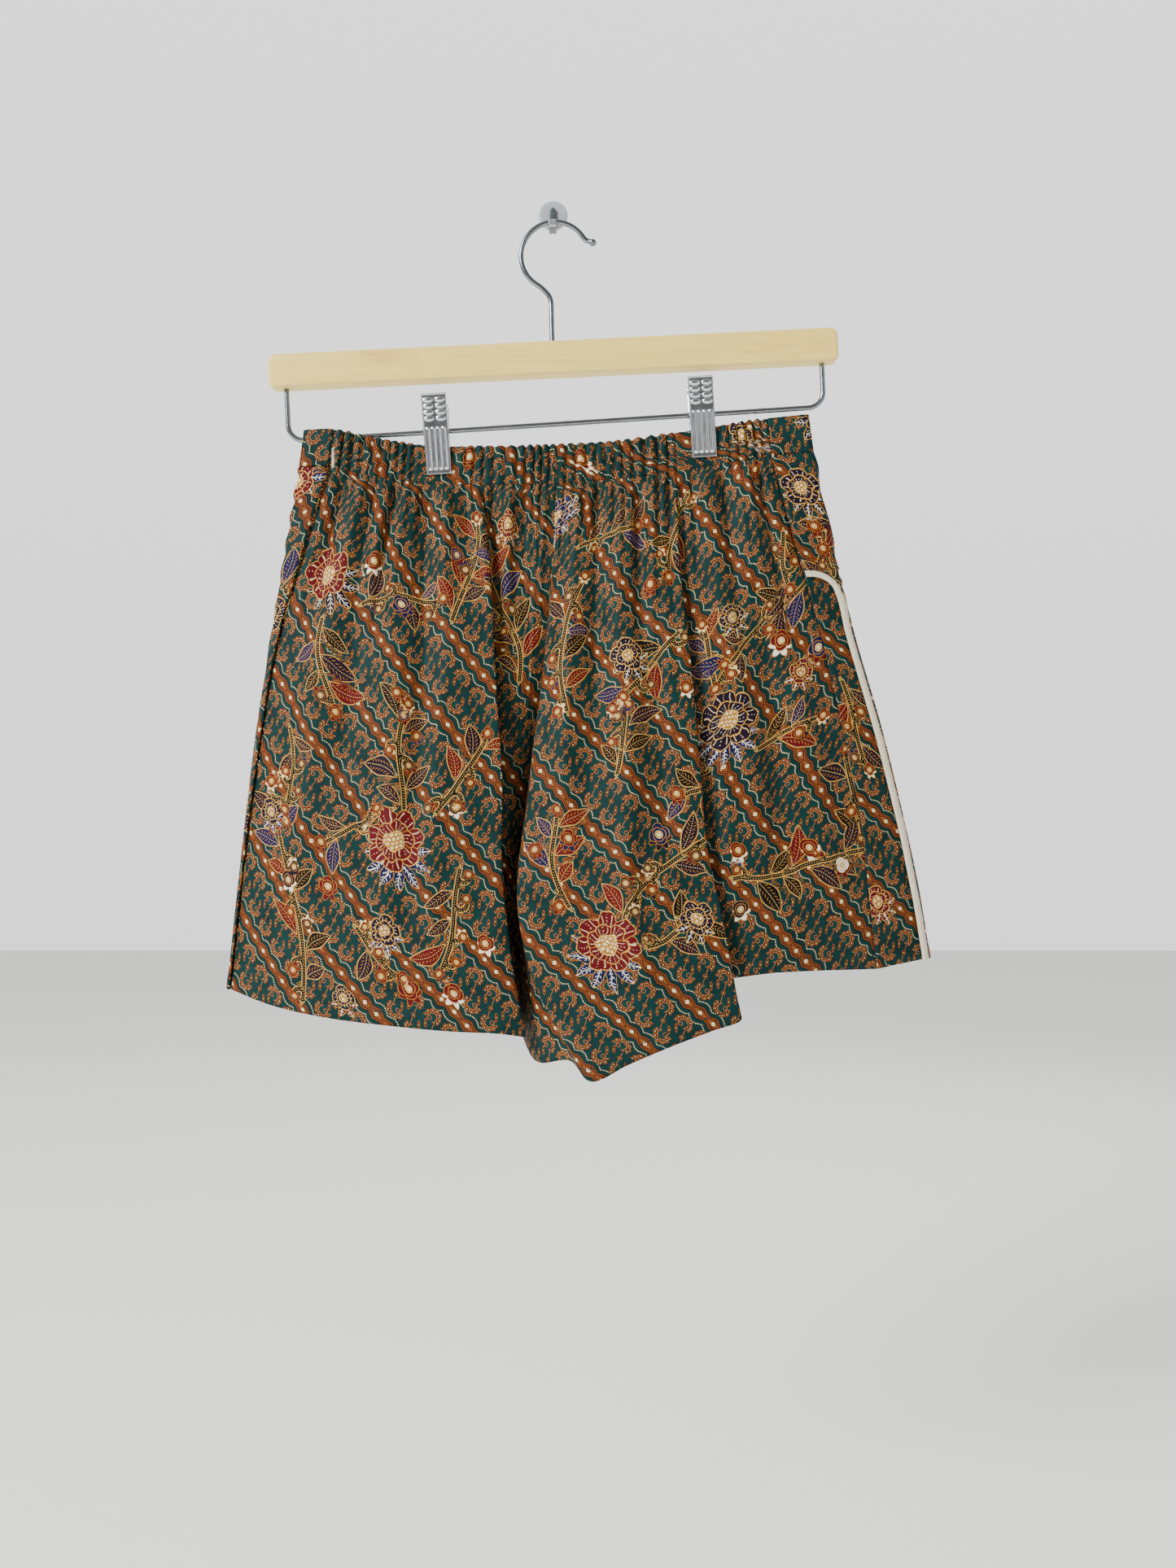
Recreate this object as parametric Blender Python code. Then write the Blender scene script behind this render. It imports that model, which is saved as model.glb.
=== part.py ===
# Batik skort, seen from its back, on a clip hanger that hangs from a wall hook.
# Metres, +Z up. The origin is the centre of the wall hook's flat back, on the wall plane y = 0.
# The back of the skort faces -Y, its front hangs against the wall, +X is the wearer's right.
import math

import bmesh
import bpy
import numpy as np
from mathutils import Matrix, Vector

MM = 0.001

# Sizes of the hanging plane and of the eye that the outlines below are drawn for
HANG_Y = -12.0 * MM
EYE = Vector((22.7 * MM, HANG_Y - 900.0 * MM, -368.0 * MM))

# Hanger
BAR_LENGTH = 363.0 * MM
BAR_HEIGHT = 21.0 * MM
BAR_DEPTH = 14.0 * MM
BAR_TOP_Z = -86.0 * MM
BAR_TILT = math.radians(2.75)
BAR_CORNER = 5.0 * MM
BAR_EDGE = 1.6 * MM
HOOK_WIRE_R = 1.3 * MM
HOOK_CENTRE = (1.6 * MM, -30.0 * MM)
HOOK_R = 21.7 * MM
HOOK_START_DEG = 240.0
HOOK_END_DEG = 33.0
HOOK_BALL_R = 2.1 * MM
SOCKET_DEPTH = 12.0 * MM
RAIL_WIRE_R = 1.45 * MM
RAIL_HALF = 171.4 * MM
RAIL_DROP_LEFT = 54.4 * MM
RAIL_DROP_RIGHT = 49.0 * MM
RAIL_BEND_R = 10.0 * MM
CLEAR = 0.3 * MM

# Clips
CLIP_XS = {"left": -74.0 * MM, "right": 95.3 * MM}
CLIP_WIDTH = 16.3 * MM
CLIP_ABOVE = 23.5 * MM
CLIP_BELOW = 27.5 * MM
CLIP_SHEET = 0.8 * MM
CLIP_STAND = 5.76 * MM
OUTER_JAW_LEAN = math.radians(6.45)
INNER_JAW_LEAN = math.radians(6.05)
RELIEF = 0.75 * MM
OVAL_ROWS = 4
OVAL_TOP = 19.4 * MM
OVAL_PITCH = 3.9 * MM
OVAL_OUT = 3.75 * MM
RIB_PITCH = 3.4 * MM
RIB_TOP = 2.6 * MM
RIB_END = -24.6 * MM
CURL_R = 1.5 * MM
CURL_Z = 18.6 * MM
OUTER_EAR_X = 6.9 * MM
INNER_EAR_X = 5.7 * MM
EAR_BACK = 2.9 * MM
EAR_R = 3.0 * MM
EAR_ROOT = 4.6 * MM
SPRING_HALF = 5.3 * MM
SPRING_TURNS = 5
SPRING_LOW = 2.45 * MM
SPRING_HIGH = 2.95 * MM

# Wall hook
DISC_R = 9.5 * MM
DISC_DEPTH = 3.0 * MM
STRIP_HALF = 2.1 * MM
STRIP_POINT = 4.4 * MM
STRIP_SHOULDER = 2.0 * MM
STRIP_FOOT = -10.6 * MM
STRIP_DEPTH = 1.5 * MM
SHELF_HALF = 2.4 * MM
SHELF_DEPTH = 1.8 * MM

# Cloth
CLOTH = 1.2 * MM
SEAM_GAP = 0.3 * MM
BAND_HEIGHT = 24.0 * MM
BAND_BACK = 1.6 * MM
BAND_FRONT = 2.0 * MM
BAND_TAPER = 0.02
BAND_LIFT = 0.8 * MM
BAND_ENDS = 6.0 * MM
RUFFLE_PITCH = 6.1 * MM
RUFFLE_HEIGHT = 0.75 * MM
CLIP_PINCH = 17.0 * MM
BULGE_X = 8.0 * MM
BULGE_HALF = 38.0 * MM
BULGE_DEPTH = 2.0 * MM
OVERLAY_LIFT = 2.2 * MM
BINDING_WIDTH = 3.8 * MM
BINDING_DEPTH = 2.0 * MM
BINDING_LIFT = 2.4 * MM
BINDING_GAP = 0.8 * MM

# The waist's top edge in millimetres: it sags between the clips
WAIST_X = (-159.8, -141, -119, -83, -40, 6, 52, 86, 123, 166)
WAIST_Z = (-142.8, -142.6, -147.2, -151.3, -152.3, -151.6, -147.7, -142.5, -136.8, -131.5)

# Levels down a panel, as a share of its length, from the waist seam to the hem.
# The legs part at the crotch level.
LEVELS = (0.00, 0.15, 0.35, 0.55, 0.72, 0.86, 1.00)
CROTCH = 0.72
ROWS = (0.0, 0.035, 0.08, 0.15, 0.22, 0.29, 0.36, 0.43, 0.50, 0.57, 0.645, CROTCH, 0.79, 0.86, 0.93, 1.0)

# Stations across the cloth, in millimetres: name, steps to the next station, x as the eye sees it
# at each level, depth y at each level, and the height of the hem as the eye sees it.
SEAM_LEFT = ("seam_left", 3, (-143, -158, -176, -187, -194.5, -200, -205.2),
             (-18.2, -16, -14.4, -14, -14.3, -14.7, -15), -499.5)
SEAM_RIGHT = ("seam_right", 0, (140.1, 153, 171.7, 186.7, 197.5, 202.7, 207.8),
              (-13.4, -15.5, -18.5, -21, -23, -24.5, -25.5), -486.3)

BACK_LEFT = (
    SEAM_LEFT,
    ("left_a", 4, (-130, -144, -158, -167, -172, -176, -180),
     (-18.0, -19.5, -23, -26, -28, -29.5, -31), -509.5),
    ("left_b", 4, (-110, -120, -128, -133, -136, -139, -142),
     (-17.9, -21.9, -31, -36, -39.5, -42, -44), -518.0),
    ("left_c", 4, (-88, -93, -97, -99, -101, -102.5, -104),
     (-13.55, -23, -35, -42, -46.5, -50, -52.5), -522.8),
    ("left_d", 3, (-66, -68, -69, -69, -69, -68, -66),
     (-13.2, -24, -37.5, -45, -50, -53.5, -56), -526.3),
    ("left_e", 4, (-55, -51, -48.5, -46, -45, -41, -33),
     (-13.9, -25, -38.5, -46.5, -51.5, -55, -57.5), -528.0),
    ("fold_1", 3, (-47, -40.6, -36.8, -32, -32.3, -26.8, -17.7),
     (-14.6, -24.5, -37, -44.5, -49.5, -52.5, -54.5), -530.0),
    ("under_1", 3, (-45.5, -42.5, -41, -38, -39, -34, -26),
     (-14.6, -21.5, -33.5, -41, -46, -49, -51), -528.0),
    ("under_2", 3, (-44, -44, -46.5, -46, -47, -43, -35),
     (-14.5, -19.5, -30, -37, -42, -45, -47), -526.0),
    ("strip_a", 3, (-36, -37, -40, -40, -42, -38, -31),
     (-14.2, -17.5, -26.5, -33, -37.5, -40, -42), -525.0),
    ("strip_b", 3, (-16, -18, -20, -25, -32, -30, -26.5),
     (-14.1, -17, -24.5, -29.5, -32, -33, -34), -526.0),
    ("centre_left", 0, (2.6, -0.5, -6.4, -15.4, -23.1, -24, -23.5),
     (-14.2, -17.5, -21.5, -21.5, -19.5, -19.5, -19.5), -524.0),
)
BACK_RIGHT = (
    ("centre_right", 2, (2.6, -0.5, -6.4, -15.4, -21.3, -20.5, -20),
     (-14.2, -17.5, -21.5, -21.5, -19.5, -19.5, -19.5), -524.0),
    ("facet_a", 2, (3.4, 0, -6.4, -15.6, -22.2, -15, -10),
     (-14.3, -19.5, -28, -33, -36, -42, -46), -545.5),
    ("facet_b", 3, (4.2, 0.8, -6, -15.2, -22, -12, 12.5),
     (-14.4, -21, -32, -40, -46, -52, -64), -545.5),
    ("fold_2", 4, (5, 1.5, -5.5, -14.5, -21.4, -9, 24.5),
     (-14.5, -22.5, -36, -46, -53, -60, -74), -558.3),
    ("mid_a", 4, (20, 17, 14, 9, 3, 18, 48),
     (-14, -24.5, -39, -49.5, -56.5, -63, -73), -548.0),
    ("mid_b", 4, (45, 45, 45, 44, 44, 56, 76),
     (-13.8, -25.5, -40.5, -51, -57.5, -63, -71), -536.0),
    ("mid_c", 4, (66, 66, 69, 72, 76, 88, 101),
     (-13.5, -25, -40, -50, -56, -61, -68), -526.5),
    ("pleat", 4, (78.6, 81, 87.5, 94, 100.3, 111.5, 120.8),
     (-13.5, -24, -38, -46.5, -52, -57, -62), -518.0),
    ("pleat_under", 3, (80, 80.5, 83, 85, 87.5, 96, 103),
     (-13.4, -21.5, -34, -42, -47.5, -52, -57), -505.0),
    ("pleat_inner", 3, (81.5, 80, 79.5, 78.5, 78, 84, 89),
     (-13.3, -19.8, -31, -38.5, -44, -48.5, -53), -497.0),
    ("pleat_out", 3, (84, 83.5, 86, 88, 90, 98, 105),
     (-13.2, -18.8, -28.5, -35.5, -40.5, -44.5, -49), -492.0),
    ("right_b", 4, (94, 95, 99, 104, 108, 117, 124),
     (-13.15, -18.8, -28.5, -36, -41, -44.5, -48), -490.0),
    ("right_c", 4, (114, 119, 127, 136, 143, 150, 156),
     (-13.3, -18.5, -27, -33.5, -37.5, -40, -42), -488.0),
    SEAM_RIGHT,
)
SIDE_LEFT = ("side_left", 3, (-161, -169, -180, -189, -196, -201.3, -206),
             (-16.9, -12.5, -10.2, -10, -10, -10.2, -10.5), -498.0)
FRONT_L1 = ("front_l1", 3, (-148, -157, -169, -177, -184, -189, -194),
            (-16.3, -10.5, -7.9, -7.4, -7.2, -7.2, -7.2), -499.5)
FRONT_L3 = ("front_l3", 3, (-118, -128, -138, -145, -150, -154, -158),
            (-15.8, -9.8, -7.6, -7.2, -7, -7, -7), -505.0)
FRONT_L2 = ("front_l2", 2, (-94, -98, -103, -107, -110, -113, -116),
            (-11.9, -9, -7.5, -7, -7, -7, -7), -508.0)
FRONT_CLIP = ("front_clip", 3, (-62, -66, -69, -72, -75, -77, -79),
              (-11.7, -8.9, -7.4, -7, -7, -7, -7), -510.0)
FRONT_R2 = ("front_r2", 4, (90, 95, 102, 107, 111, 114, 117),
            (-11.65, -9, -7.5, -7, -7, -7, -7), -492.0)
FRONT_R1 = ("front_r1", 3, (152, 163, 179, 196, 209, 218, 226),
            (-11.3, -8.8, -7.8, -7.4, -7.2, -7.2, -7.2), -481.0)
SIDE_RIGHT = ("side_right", 2, (166, 176.2, 190.2, 208.7, 222.1, 231.9, 239.4),
              (-11.6, -10.3, -10, -10.2, -10.5, -10.8, -11), -479.2)
FRONT_MID = ("front_mid", 4, (2.6, 0, -5.5, -14, -22.2, -22.3, -21.8),
             (-11, -8.8, -7.2, -7, -7, -7, -7), -518.0)
FRONT_ROUND = (SEAM_LEFT, SIDE_LEFT, FRONT_L1, FRONT_L3, FRONT_L2, FRONT_CLIP, FRONT_MID, FRONT_R2, FRONT_R1,
               SIDE_RIGHT, SEAM_RIGHT)
# Under the skirt front, the two front legs dip toward the back where they part
VALLEY_HALF = 62.0 * MM
VALLEY_DEPTH = 12.5 * MM
VALLEY_TOP = 0.35

# Folds that run down from the gathered waist, in millimetres: where each starts on the waist,
# its width, its height off the cloth, and the share of the panel's length that it reaches
BACK_FOLDS = (
    (-131, 4.0, 0.9, 0.22), (-119, 5.0, 1.6, 0.40), (-104, 4.0, 1.2, 0.25), (-92, 5.5, 2.0, 0.55),
    (-77, 4.5, -1.4, 0.45), (-66, 4.5, 1.8, 0.35), (-27, 4.5, 1.3, 0.18), (-10, 4.5, 1.2, 0.20),
    (18, 5.0, 1.8, 0.45), (31, 4.5, -1.5, 0.38), (43, 5.0, 2.0, 0.60), (57, 4.5, -1.6, 0.50),
    (67, 4.5, 1.7, 0.35), (99, 4.5, 1.3, 0.24), (110, 4.5, -1.4, 0.42), (122, 5.0, 1.8, 0.30),
)


def remove_all():
    for old in list(bpy.data.objects):
        bpy.data.objects.remove(old, do_unlink=True)


def finish(name, color, roughness, metallic=0.0):
    material = bpy.data.materials.new(name)
    material.use_nodes = True
    shader = material.node_tree.nodes["Principled BSDF"]
    shader.inputs["Base Color"].default_value = (*color, 1.0)
    shader.inputs["Roughness"].default_value = roughness
    shader.inputs["Metallic"].default_value = metallic
    return material


def add_object(name, mesh, color, roughness, metallic=0.0, smooth=30.0):
    made = bpy.data.objects.new(name, mesh)
    bpy.context.collection.objects.link(made)
    mesh.materials.append(finish(name, color, roughness, metallic))
    mesh.shade_smooth()
    mesh.set_sharp_from_angle(angle=math.radians(smooth))
    return made


def mesh_from(name, points, faces):
    grown = bmesh.new()
    corners = [grown.verts.new(point) for point in points]
    for face in faces:
        grown.faces.new([corners[index] for index in face])
    bmesh.ops.recalc_face_normals(grown, faces=grown.faces)
    mesh = bpy.data.meshes.new(name)
    grown.to_mesh(mesh)
    grown.free()
    return mesh


def curve_through(knots, values, at):
    # A smooth curve through values at uneven knots
    knots = np.asarray(knots, float)
    values = np.asarray(values, float)
    flat = values.reshape(len(knots), -1)
    steps = np.diff(knots)[:, None]
    rises = np.diff(flat, axis=0) / steps
    slopes = np.vstack([rises[:1], (steps[:-1] * rises[1:] + steps[1:] * rises[:-1])
                        / (steps[:-1] + steps[1:]), rises[-1:]])
    at = np.clip(np.atleast_1d(np.asarray(at, float)), knots[0], knots[-1])
    left = np.clip(np.searchsorted(knots, at, side="right") - 1, 0, len(knots) - 2)
    span = (knots[left + 1] - knots[left])[:, None]
    t = (at[:, None] - knots[left][:, None]) / span
    found = ((2 * t**3 - 3 * t**2 + 1) * flat[left] + (t**3 - 2 * t**2 + t) * span * slopes[left]
             + (3 * t**2 - 2 * t**3) * flat[left + 1] + (t**3 - t**2) * span * slopes[left + 1])
    return found.reshape((len(at),) + values.shape[1:])


def waist_seam(x):
    # Height of the seam under the waistband, in metres
    top = curve_through(WAIST_X, np.array(WAIST_Z)[:, None], x / MM)[:, 0]
    return top * MM - BAND_HEIGHT - SEAM_GAP


def place(x, y, z):
    # Moves a point of the seen outline along its line of sight to depth y, all in metres
    reach = (y - EYE.y) / (HANG_Y - EYE.y)
    return np.stack([EYE.x + (x - EYE.x) * reach, y, EYE.z + (z - EYE.z) * reach], axis=-1)


def stations_at(stations, level):
    # The stations' x and y at one level, and the height of the hem below each, in metres
    xs = np.array([curve_through(LEVELS, np.array(row[2], float)[:, None], level)[0, 0] for row in stations])
    ys = np.array([curve_through(LEVELS, np.array(row[3], float)[:, None], level)[0, 0] for row in stations])
    hem_y = np.array([row[3][-1] for row in stations], float)
    hem_z = np.array([row[4] for row in stations], float)
    points = place(xs * MM, ys * MM, hem_z * MM)
    points[:, 2] = place(xs * MM, hem_y * MM, hem_z * MM)[:, 2]
    return points


def row_through(points, counts):
    # A smooth row through the stations, with the stated steps between each two
    spans = np.sqrt(np.linalg.norm(np.diff(points[:, :2], axis=0), axis=1))
    knots = np.concatenate([[0], np.cumsum(spans)])
    at = [knots[0]]
    for index, count in enumerate(counts):
        at.extend(knots[index] + (knots[index + 1] - knots[index]) * (np.arange(count) + 1) / count)
    return curve_through(knots, points, at)


def panel_rows(stations, levels=ROWS, density=1):
    counts = [row[1] * density for row in stations[:-1]]
    seam = waist_seam(row_through(stations_at(stations, 0.0), counts)[:, 0])
    rows = []
    for level in levels:
        row = row_through(stations_at(stations, level), counts)
        row[:, 2] = seam + (row[:, 2] - seam) * level
        rows.append(row)
    return np.array(rows)


def out_normals(rows, side):
    # Level normals on the cloth's outer side, longer where a row turns, so that a wall keeps its thickness
    step = np.diff(rows[..., :2], axis=-2)
    step /= np.linalg.norm(step, axis=-1, keepdims=True)
    across = side * np.stack([step[..., 1], -step[..., 0]], axis=-1)
    before = np.concatenate([across[..., :1, :], across], axis=-2)
    after = np.concatenate([across, across[..., -1:, :]], axis=-2)
    mean = before + after
    mean /= np.linalg.norm(mean, axis=-1, keepdims=True)
    mean /= np.maximum(np.sum(mean * after, axis=-1, keepdims=True), 0.6)
    normals = np.zeros_like(rows)
    normals[..., :2] = mean
    return normals


def fold_heights(rows, levels):
    # Height of the gathers and folds at each point, from its place on the waist
    start = rows[0, :, 0]
    heights = np.zeros(rows.shape[:2])
    for at, width, height, reach in BACK_FOLDS:
        across = np.exp(-((start - at * MM) / (width * MM)) ** 2)
        down = np.array([min(1.0, level / 0.05) * math.exp(-(level / reach) ** 2) for level in levels])
        heights += down[:, None] * across[None, :] * height * MM
    edge = np.minimum(np.arange(len(start)), np.arange(len(start))[::-1])
    return heights * np.clip(edge / 2.0, 0, 1)[None, :]


def inward(rows, end):
    # Level direction from a panel's edge into the panel
    step = rows[:, 1, :2] - rows[:, 0, :2] if end == 0 else rows[:, -2, :2] - rows[:, -1, :2]
    return step / np.linalg.norm(step, axis=1, keepdims=True)


def sew(one, one_end, two, two_end, picks, gap):
    # Mitres two panels' edges over the picked rows and leaves the seam gap between them
    a, b = (0 if one_end == 0 else -1), (0 if two_end == 0 else -1)
    meet = (one["rows"][picks, a] + two["rows"][picks, b]) / 2
    apart = inward(one["rows"], one_end)[picks] - inward(two["rows"], two_end)[picks]
    apart /= np.linalg.norm(apart, axis=1, keepdims=True)
    normal = one["normals"][picks, a] + two["normals"][picks, b]
    normal /= np.linalg.norm(normal, axis=1, keepdims=True)
    lean = np.sum(normal * one["normals"][picks, a], axis=1, keepdims=True)
    normal = normal / np.maximum(lean, 0.7)
    shift = np.hstack([apart, np.zeros((len(apart), 1))]) * np.asarray(gap).reshape(-1, 1) / 2
    one["new"].append((picks, a, meet + shift, normal))
    two["new"].append((picks, b, meet - shift, normal))


def settle(panel):
    for picks, column, places, normals in panel["new"]:
        panel["rows"][picks, column] = places
        panel["normals"][picks, column] = normals


def wall_mesh(name, rows, normals, thickness):
    # A closed wall: an outer and an inner skin over the rows, and the four edges
    high, wide = rows.shape[:2]
    outer = rows + normals * thickness / 2
    inner = rows - normals * thickness / 2
    points = [tuple(p) for p in outer.reshape(-1, 3)] + [tuple(p) for p in inner.reshape(-1, 3)]
    size = high * wide
    faces = []
    for j in range(high - 1):
        for i in range(wide - 1):
            a, b, c, d = j * wide + i, j * wide + i + 1, (j + 1) * wide + i + 1, (j + 1) * wide + i
            faces.append((a, b, c, d))
            faces.append((size + d, size + c, size + b, size + a))
    rim = [i for i in range(wide)]
    rim += [j * wide + wide - 1 for j in range(1, high)]
    rim += [(high - 1) * wide + i for i in range(wide - 2, -1, -1)]
    rim += [j * wide for j in range(high - 2, 0, -1)]
    for k, a in enumerate(rim):
        b = rim[(k + 1) % len(rim)]
        faces.append((a, size + a, size + b, b))
    return mesh_from(name, points, faces)


PRINT = (0.035, 0.085, 0.075)
CREAM = (0.86, 0.84, 0.72)


def cloth_object(name, rows, normals, thickness, color=PRINT):
    return add_object(name, wall_mesh(name, rows, normals, thickness), color, 0.75, smooth=60.0)


def front_legs():
    # Rows of the two front legs, from the left seam to the crotch and on to the right seam
    rows = panel_rows(FRONT_ROUND)
    middle = sum(row[1] for row in FRONT_ROUND[:FRONT_ROUND.index(FRONT_MID)])
    for index, level in enumerate(ROWS):
        share = min(max((level - VALLEY_TOP) / (CROTCH - VALLEY_TOP), 0.0), 1.0)
        depth = VALLEY_DEPTH * share * share * (3 - 2 * share)
        away = np.abs(rows[index, :, 0] - rows[index, middle, 0]) / VALLEY_HALF
        rows[index, :, 1] -= depth * np.clip(1 - away, 0, 1) ** 2
    return rows[:, :middle + 1].copy(), rows[:, middle:].copy()


def shorts():
    panels = {}
    fork = ROWS.index(CROTCH)
    back_left, back_right = panel_rows(BACK_LEFT), panel_rows(BACK_RIGHT)
    front_left, front_right = front_legs()
    front_left[fork:, -1] = back_left[fork:, -1]
    front_right[fork:, 0] = back_right[fork:, 0]
    for name, rows, side in (("shorts_back_left", back_left, 1), ("shorts_back_right", back_right, 1),
                             ("shorts_front_left", front_left, -1), ("shorts_front_right", front_right, -1)):
        if side == 1:
            rows = rows + out_normals(rows, side) * fold_heights(rows, ROWS)[..., None]
        panels[name] = {"rows": rows, "normals": out_normals(rows, side), "new": []}
    back_l, back_r = panels["shorts_back_left"], panels["shorts_back_right"]
    front_l, front_r = panels["shorts_front_left"], panels["shorts_front_right"]
    above = np.arange(fork)
    below = np.arange(fork, len(ROWS))
    every = np.arange(len(ROWS))
    wide = np.where(above == fork - 1, 3 * SEAM_GAP, SEAM_GAP)
    sew(back_l, 0, front_l, 0, every, np.full(len(ROWS), SEAM_GAP))
    sew(back_r, 1, front_r, 1, every, np.full(len(ROWS), SEAM_GAP))
    sew(back_l, 1, back_r, 0, above, wide)
    sew(front_l, 1, front_r, 0, above, wide)
    sew(back_l, 1, front_l, 1, below, np.full(len(below), SEAM_GAP))
    sew(back_r, 0, front_r, 0, below, np.full(len(below), SEAM_GAP))
    for name, panel in panels.items():
        settle(panel)
        cloth_object(name, panel["rows"], panel["normals"], CLOTH)
    return panels


class FrontRow:
    # One level of the cloth round the front, from the left seam to the right one, by its length
    FINE = 5

    def __init__(self, level):
        self.points = panel_rows(FRONT_ROUND, (level,), density=self.FINE)[0]
        steps = np.linalg.norm(np.diff(self.points, axis=0), axis=1)
        self.at = np.concatenate([[0], np.cumsum(steps)])
        self.length = self.at[-1]
        self.columns = self.at[::self.FINE]
        self.side = self.length - self.columns[-1 - SIDE_RIGHT[1]]

    def sample(self, distances):
        # Points the stated distances before the right seam
        along = self.length - np.asarray(distances)
        return np.stack([np.interp(along, self.at, self.points[:, k]) for k in range(3)], axis=-1)

    def lifted(self, distance):
        # A point of the binding, and the cloth's normal there
        reach = BINDING_WIDTH / 2
        three = self.sample([distance + reach, distance, max(distance - reach, 0.0)])
        normal = out_normals(three, -1)[1]
        return three[1] + normal * BINDING_LIFT, normal

    def columns_to(self, distance):
        # The columns of the legs below, but ending the stated distance before the right seam
        after_side = SIDE_RIGHT[1]
        kept = self.columns[:-after_side]
        end = self.length - distance
        found = np.concatenate([kept, np.linspace(kept[-1], end, after_side + 1)[1:]])
        found[0] = SEAM_GAP
        return self.length - found


# The overlay is sewn into the right side seam down to this level, and its bound edge then
# sweeps out to the side in a quarter turn and runs down just behind the side's fold to the hem
EDGE_LEVEL = 0.232
EDGE_BACK = 3.8 * MM
EDGE_TURN = 15.0 * MM
PANEL_LENGTH = 327.0 * MM


def edge_route(inset):
    # The overlay's free edge as (level, distance from the right seam), moved by inset on to the overlay
    route = []
    for degrees in (0, 24, 46, 68, 90):
        angle = math.radians(degrees)
        level = EDGE_LEVEL + EDGE_TURN / PANEL_LENGTH * (1 - math.cos(angle))
        reach = FrontRow(level).side - EDGE_BACK
        across = reach * math.cos(angle)
        down = EDGE_TURN * math.sin(angle)
        size = math.hypot(across, down)
        distance = reach * math.sin(angle) + inset * down / size
        route.append((level - inset * across / size / PANEL_LENGTH, max(distance, SEAM_GAP)))
    for level in (0.35, 0.45, 0.56, 0.68, 0.79, 0.90, 1.0):
        route.append((level, FrontRow(level).side - EDGE_BACK + inset))
    return route


def skirt_overlay():
    # The skirt front: one layer over both front legs, sewn in at the left seam
    inset = BINDING_WIDTH / 2 + BINDING_GAP
    stops = [(level, SEAM_GAP) for level in (0.0, 0.07, 0.15)] + edge_route(inset)
    rows = []
    for level, distance in stops:
        row = FrontRow(level)
        rows.append(row.sample(row.columns_to(distance)))
    rows = np.array(rows)
    normals = out_normals(rows, -1)
    cloth_object("skirt_front", rows + normals * OVERLAY_LIFT, normals, CLOTH)


def skirt_binding():
    # The pale binding along the overlay's free edge, bent over the side as the overlay is
    edges = [edge_route(inset) for inset in (-BINDING_WIDTH / 2, 0.0, BINDING_WIDTH / 2)]
    found = [[FrontRow(level).lifted(distance) for level, distance in stops] for stops in zip(*edges)]
    rows = np.array([[point for point, _ in stops] for stops in found])
    normals = np.array([[normal for _, normal in stops] for stops in found])
    cloth_object("skirt_binding", rows, normals, BINDING_DEPTH, CREAM)


def ruffle_phase(x):
    return 2 * math.pi * x / RUFFLE_PITCH + 2.0 * math.sin(x / 17e-3) + 1.2 * math.sin(x / 7.3e-3 + 1)


def waistband_back(panels):
    # The elastic casing: a ruffled band between the two side seams, pinched flat in the clips
    top_row = np.vstack([panels["shorts_back_left"]["rows"][0], panels["shorts_back_right"]["rows"][0]])
    first, last = top_row[0, 0] + SEAM_GAP / 2, top_row[-1, 0] - SEAM_GAP / 2
    fine = np.linspace(first, last, 4000)
    phase = np.maximum.accumulate(np.array([ruffle_phase(x) for x in fine]))
    marks = np.arange(phase[0], phase[-1], math.pi / 2)
    xs = np.interp(marks, phase, fine)
    xs = np.concatenate([[first], xs[(xs > first + 1 * MM) & (xs < last - 1 * MM)], [last]])
    xs = xs[np.concatenate([[True], np.diff(xs) > 0.4 * MM])]
    rows = []
    for share in (1.0, 0.0):
        row = []
        for x in xs:
            y = np.interp(x, top_row[:, 0], top_row[:, 1])
            z = np.interp(x, top_row[:, 0], top_row[:, 2]) + SEAM_GAP + BAND_HEIGHT * share
            pinch = max(math.exp(-((x - at) / CLIP_PINCH) ** 6) for at in CLIP_XS.values())
            ends = min(1.0, (x - first) / BAND_ENDS, (last - x) / BAND_ENDS)
            height = RUFFLE_HEIGHT * (0.75 + 0.25 * math.sin(x / 11e-3 + 2)) * (1 - pinch) * ends
            wave = math.sin(ruffle_phase(x)) * height
            bulge = BULGE_DEPTH * math.exp(-((x - BULGE_X) / BULGE_HALF) ** 2) * share
            lift = 0.6 * wave * share
            row.append((x * (1 - BAND_TAPER * share), y - wave - bulge, z + lift))
        rows.append(row)
    rows = np.array(rows)
    cloth_object("waistband_back", rows, out_normals(rows, 1), BAND_BACK)


def waistband_front():
    # The flat band: over the front, round both sides, and on to the back as far as the seams
    row = FrontRow(0.0)
    base = row.sample(row.columns_to(SEAM_GAP / 2))
    normals = out_normals(base, -1)
    base += normals * BAND_LIFT
    rows = []
    for share in (1.0, 0.0):
        lifted = base.copy()
        lifted[:, 0] *= 1 - BAND_TAPER * share
        lifted[:, 2] += SEAM_GAP + BAND_HEIGHT * share
        rows.append(lifted)
    cloth_object("waistband_front", np.array(rows), np.array([normals, normals]), BAND_FRONT)


def tube_mesh(name, points, sides):
    # Closes rings of points, in order, into a tube with flat ends
    count = len(points) // sides
    faces = [tuple(range(sides)), tuple(range((count - 1) * sides, count * sides))[::-1]]
    for ring in range(count - 1):
        for side in range(sides):
            a = ring * sides + side
            b = ring * sides + (side + 1) % sides
            faces.append((a, b, b + sides, a + sides))
    return mesh_from(name, points, faces)


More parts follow.
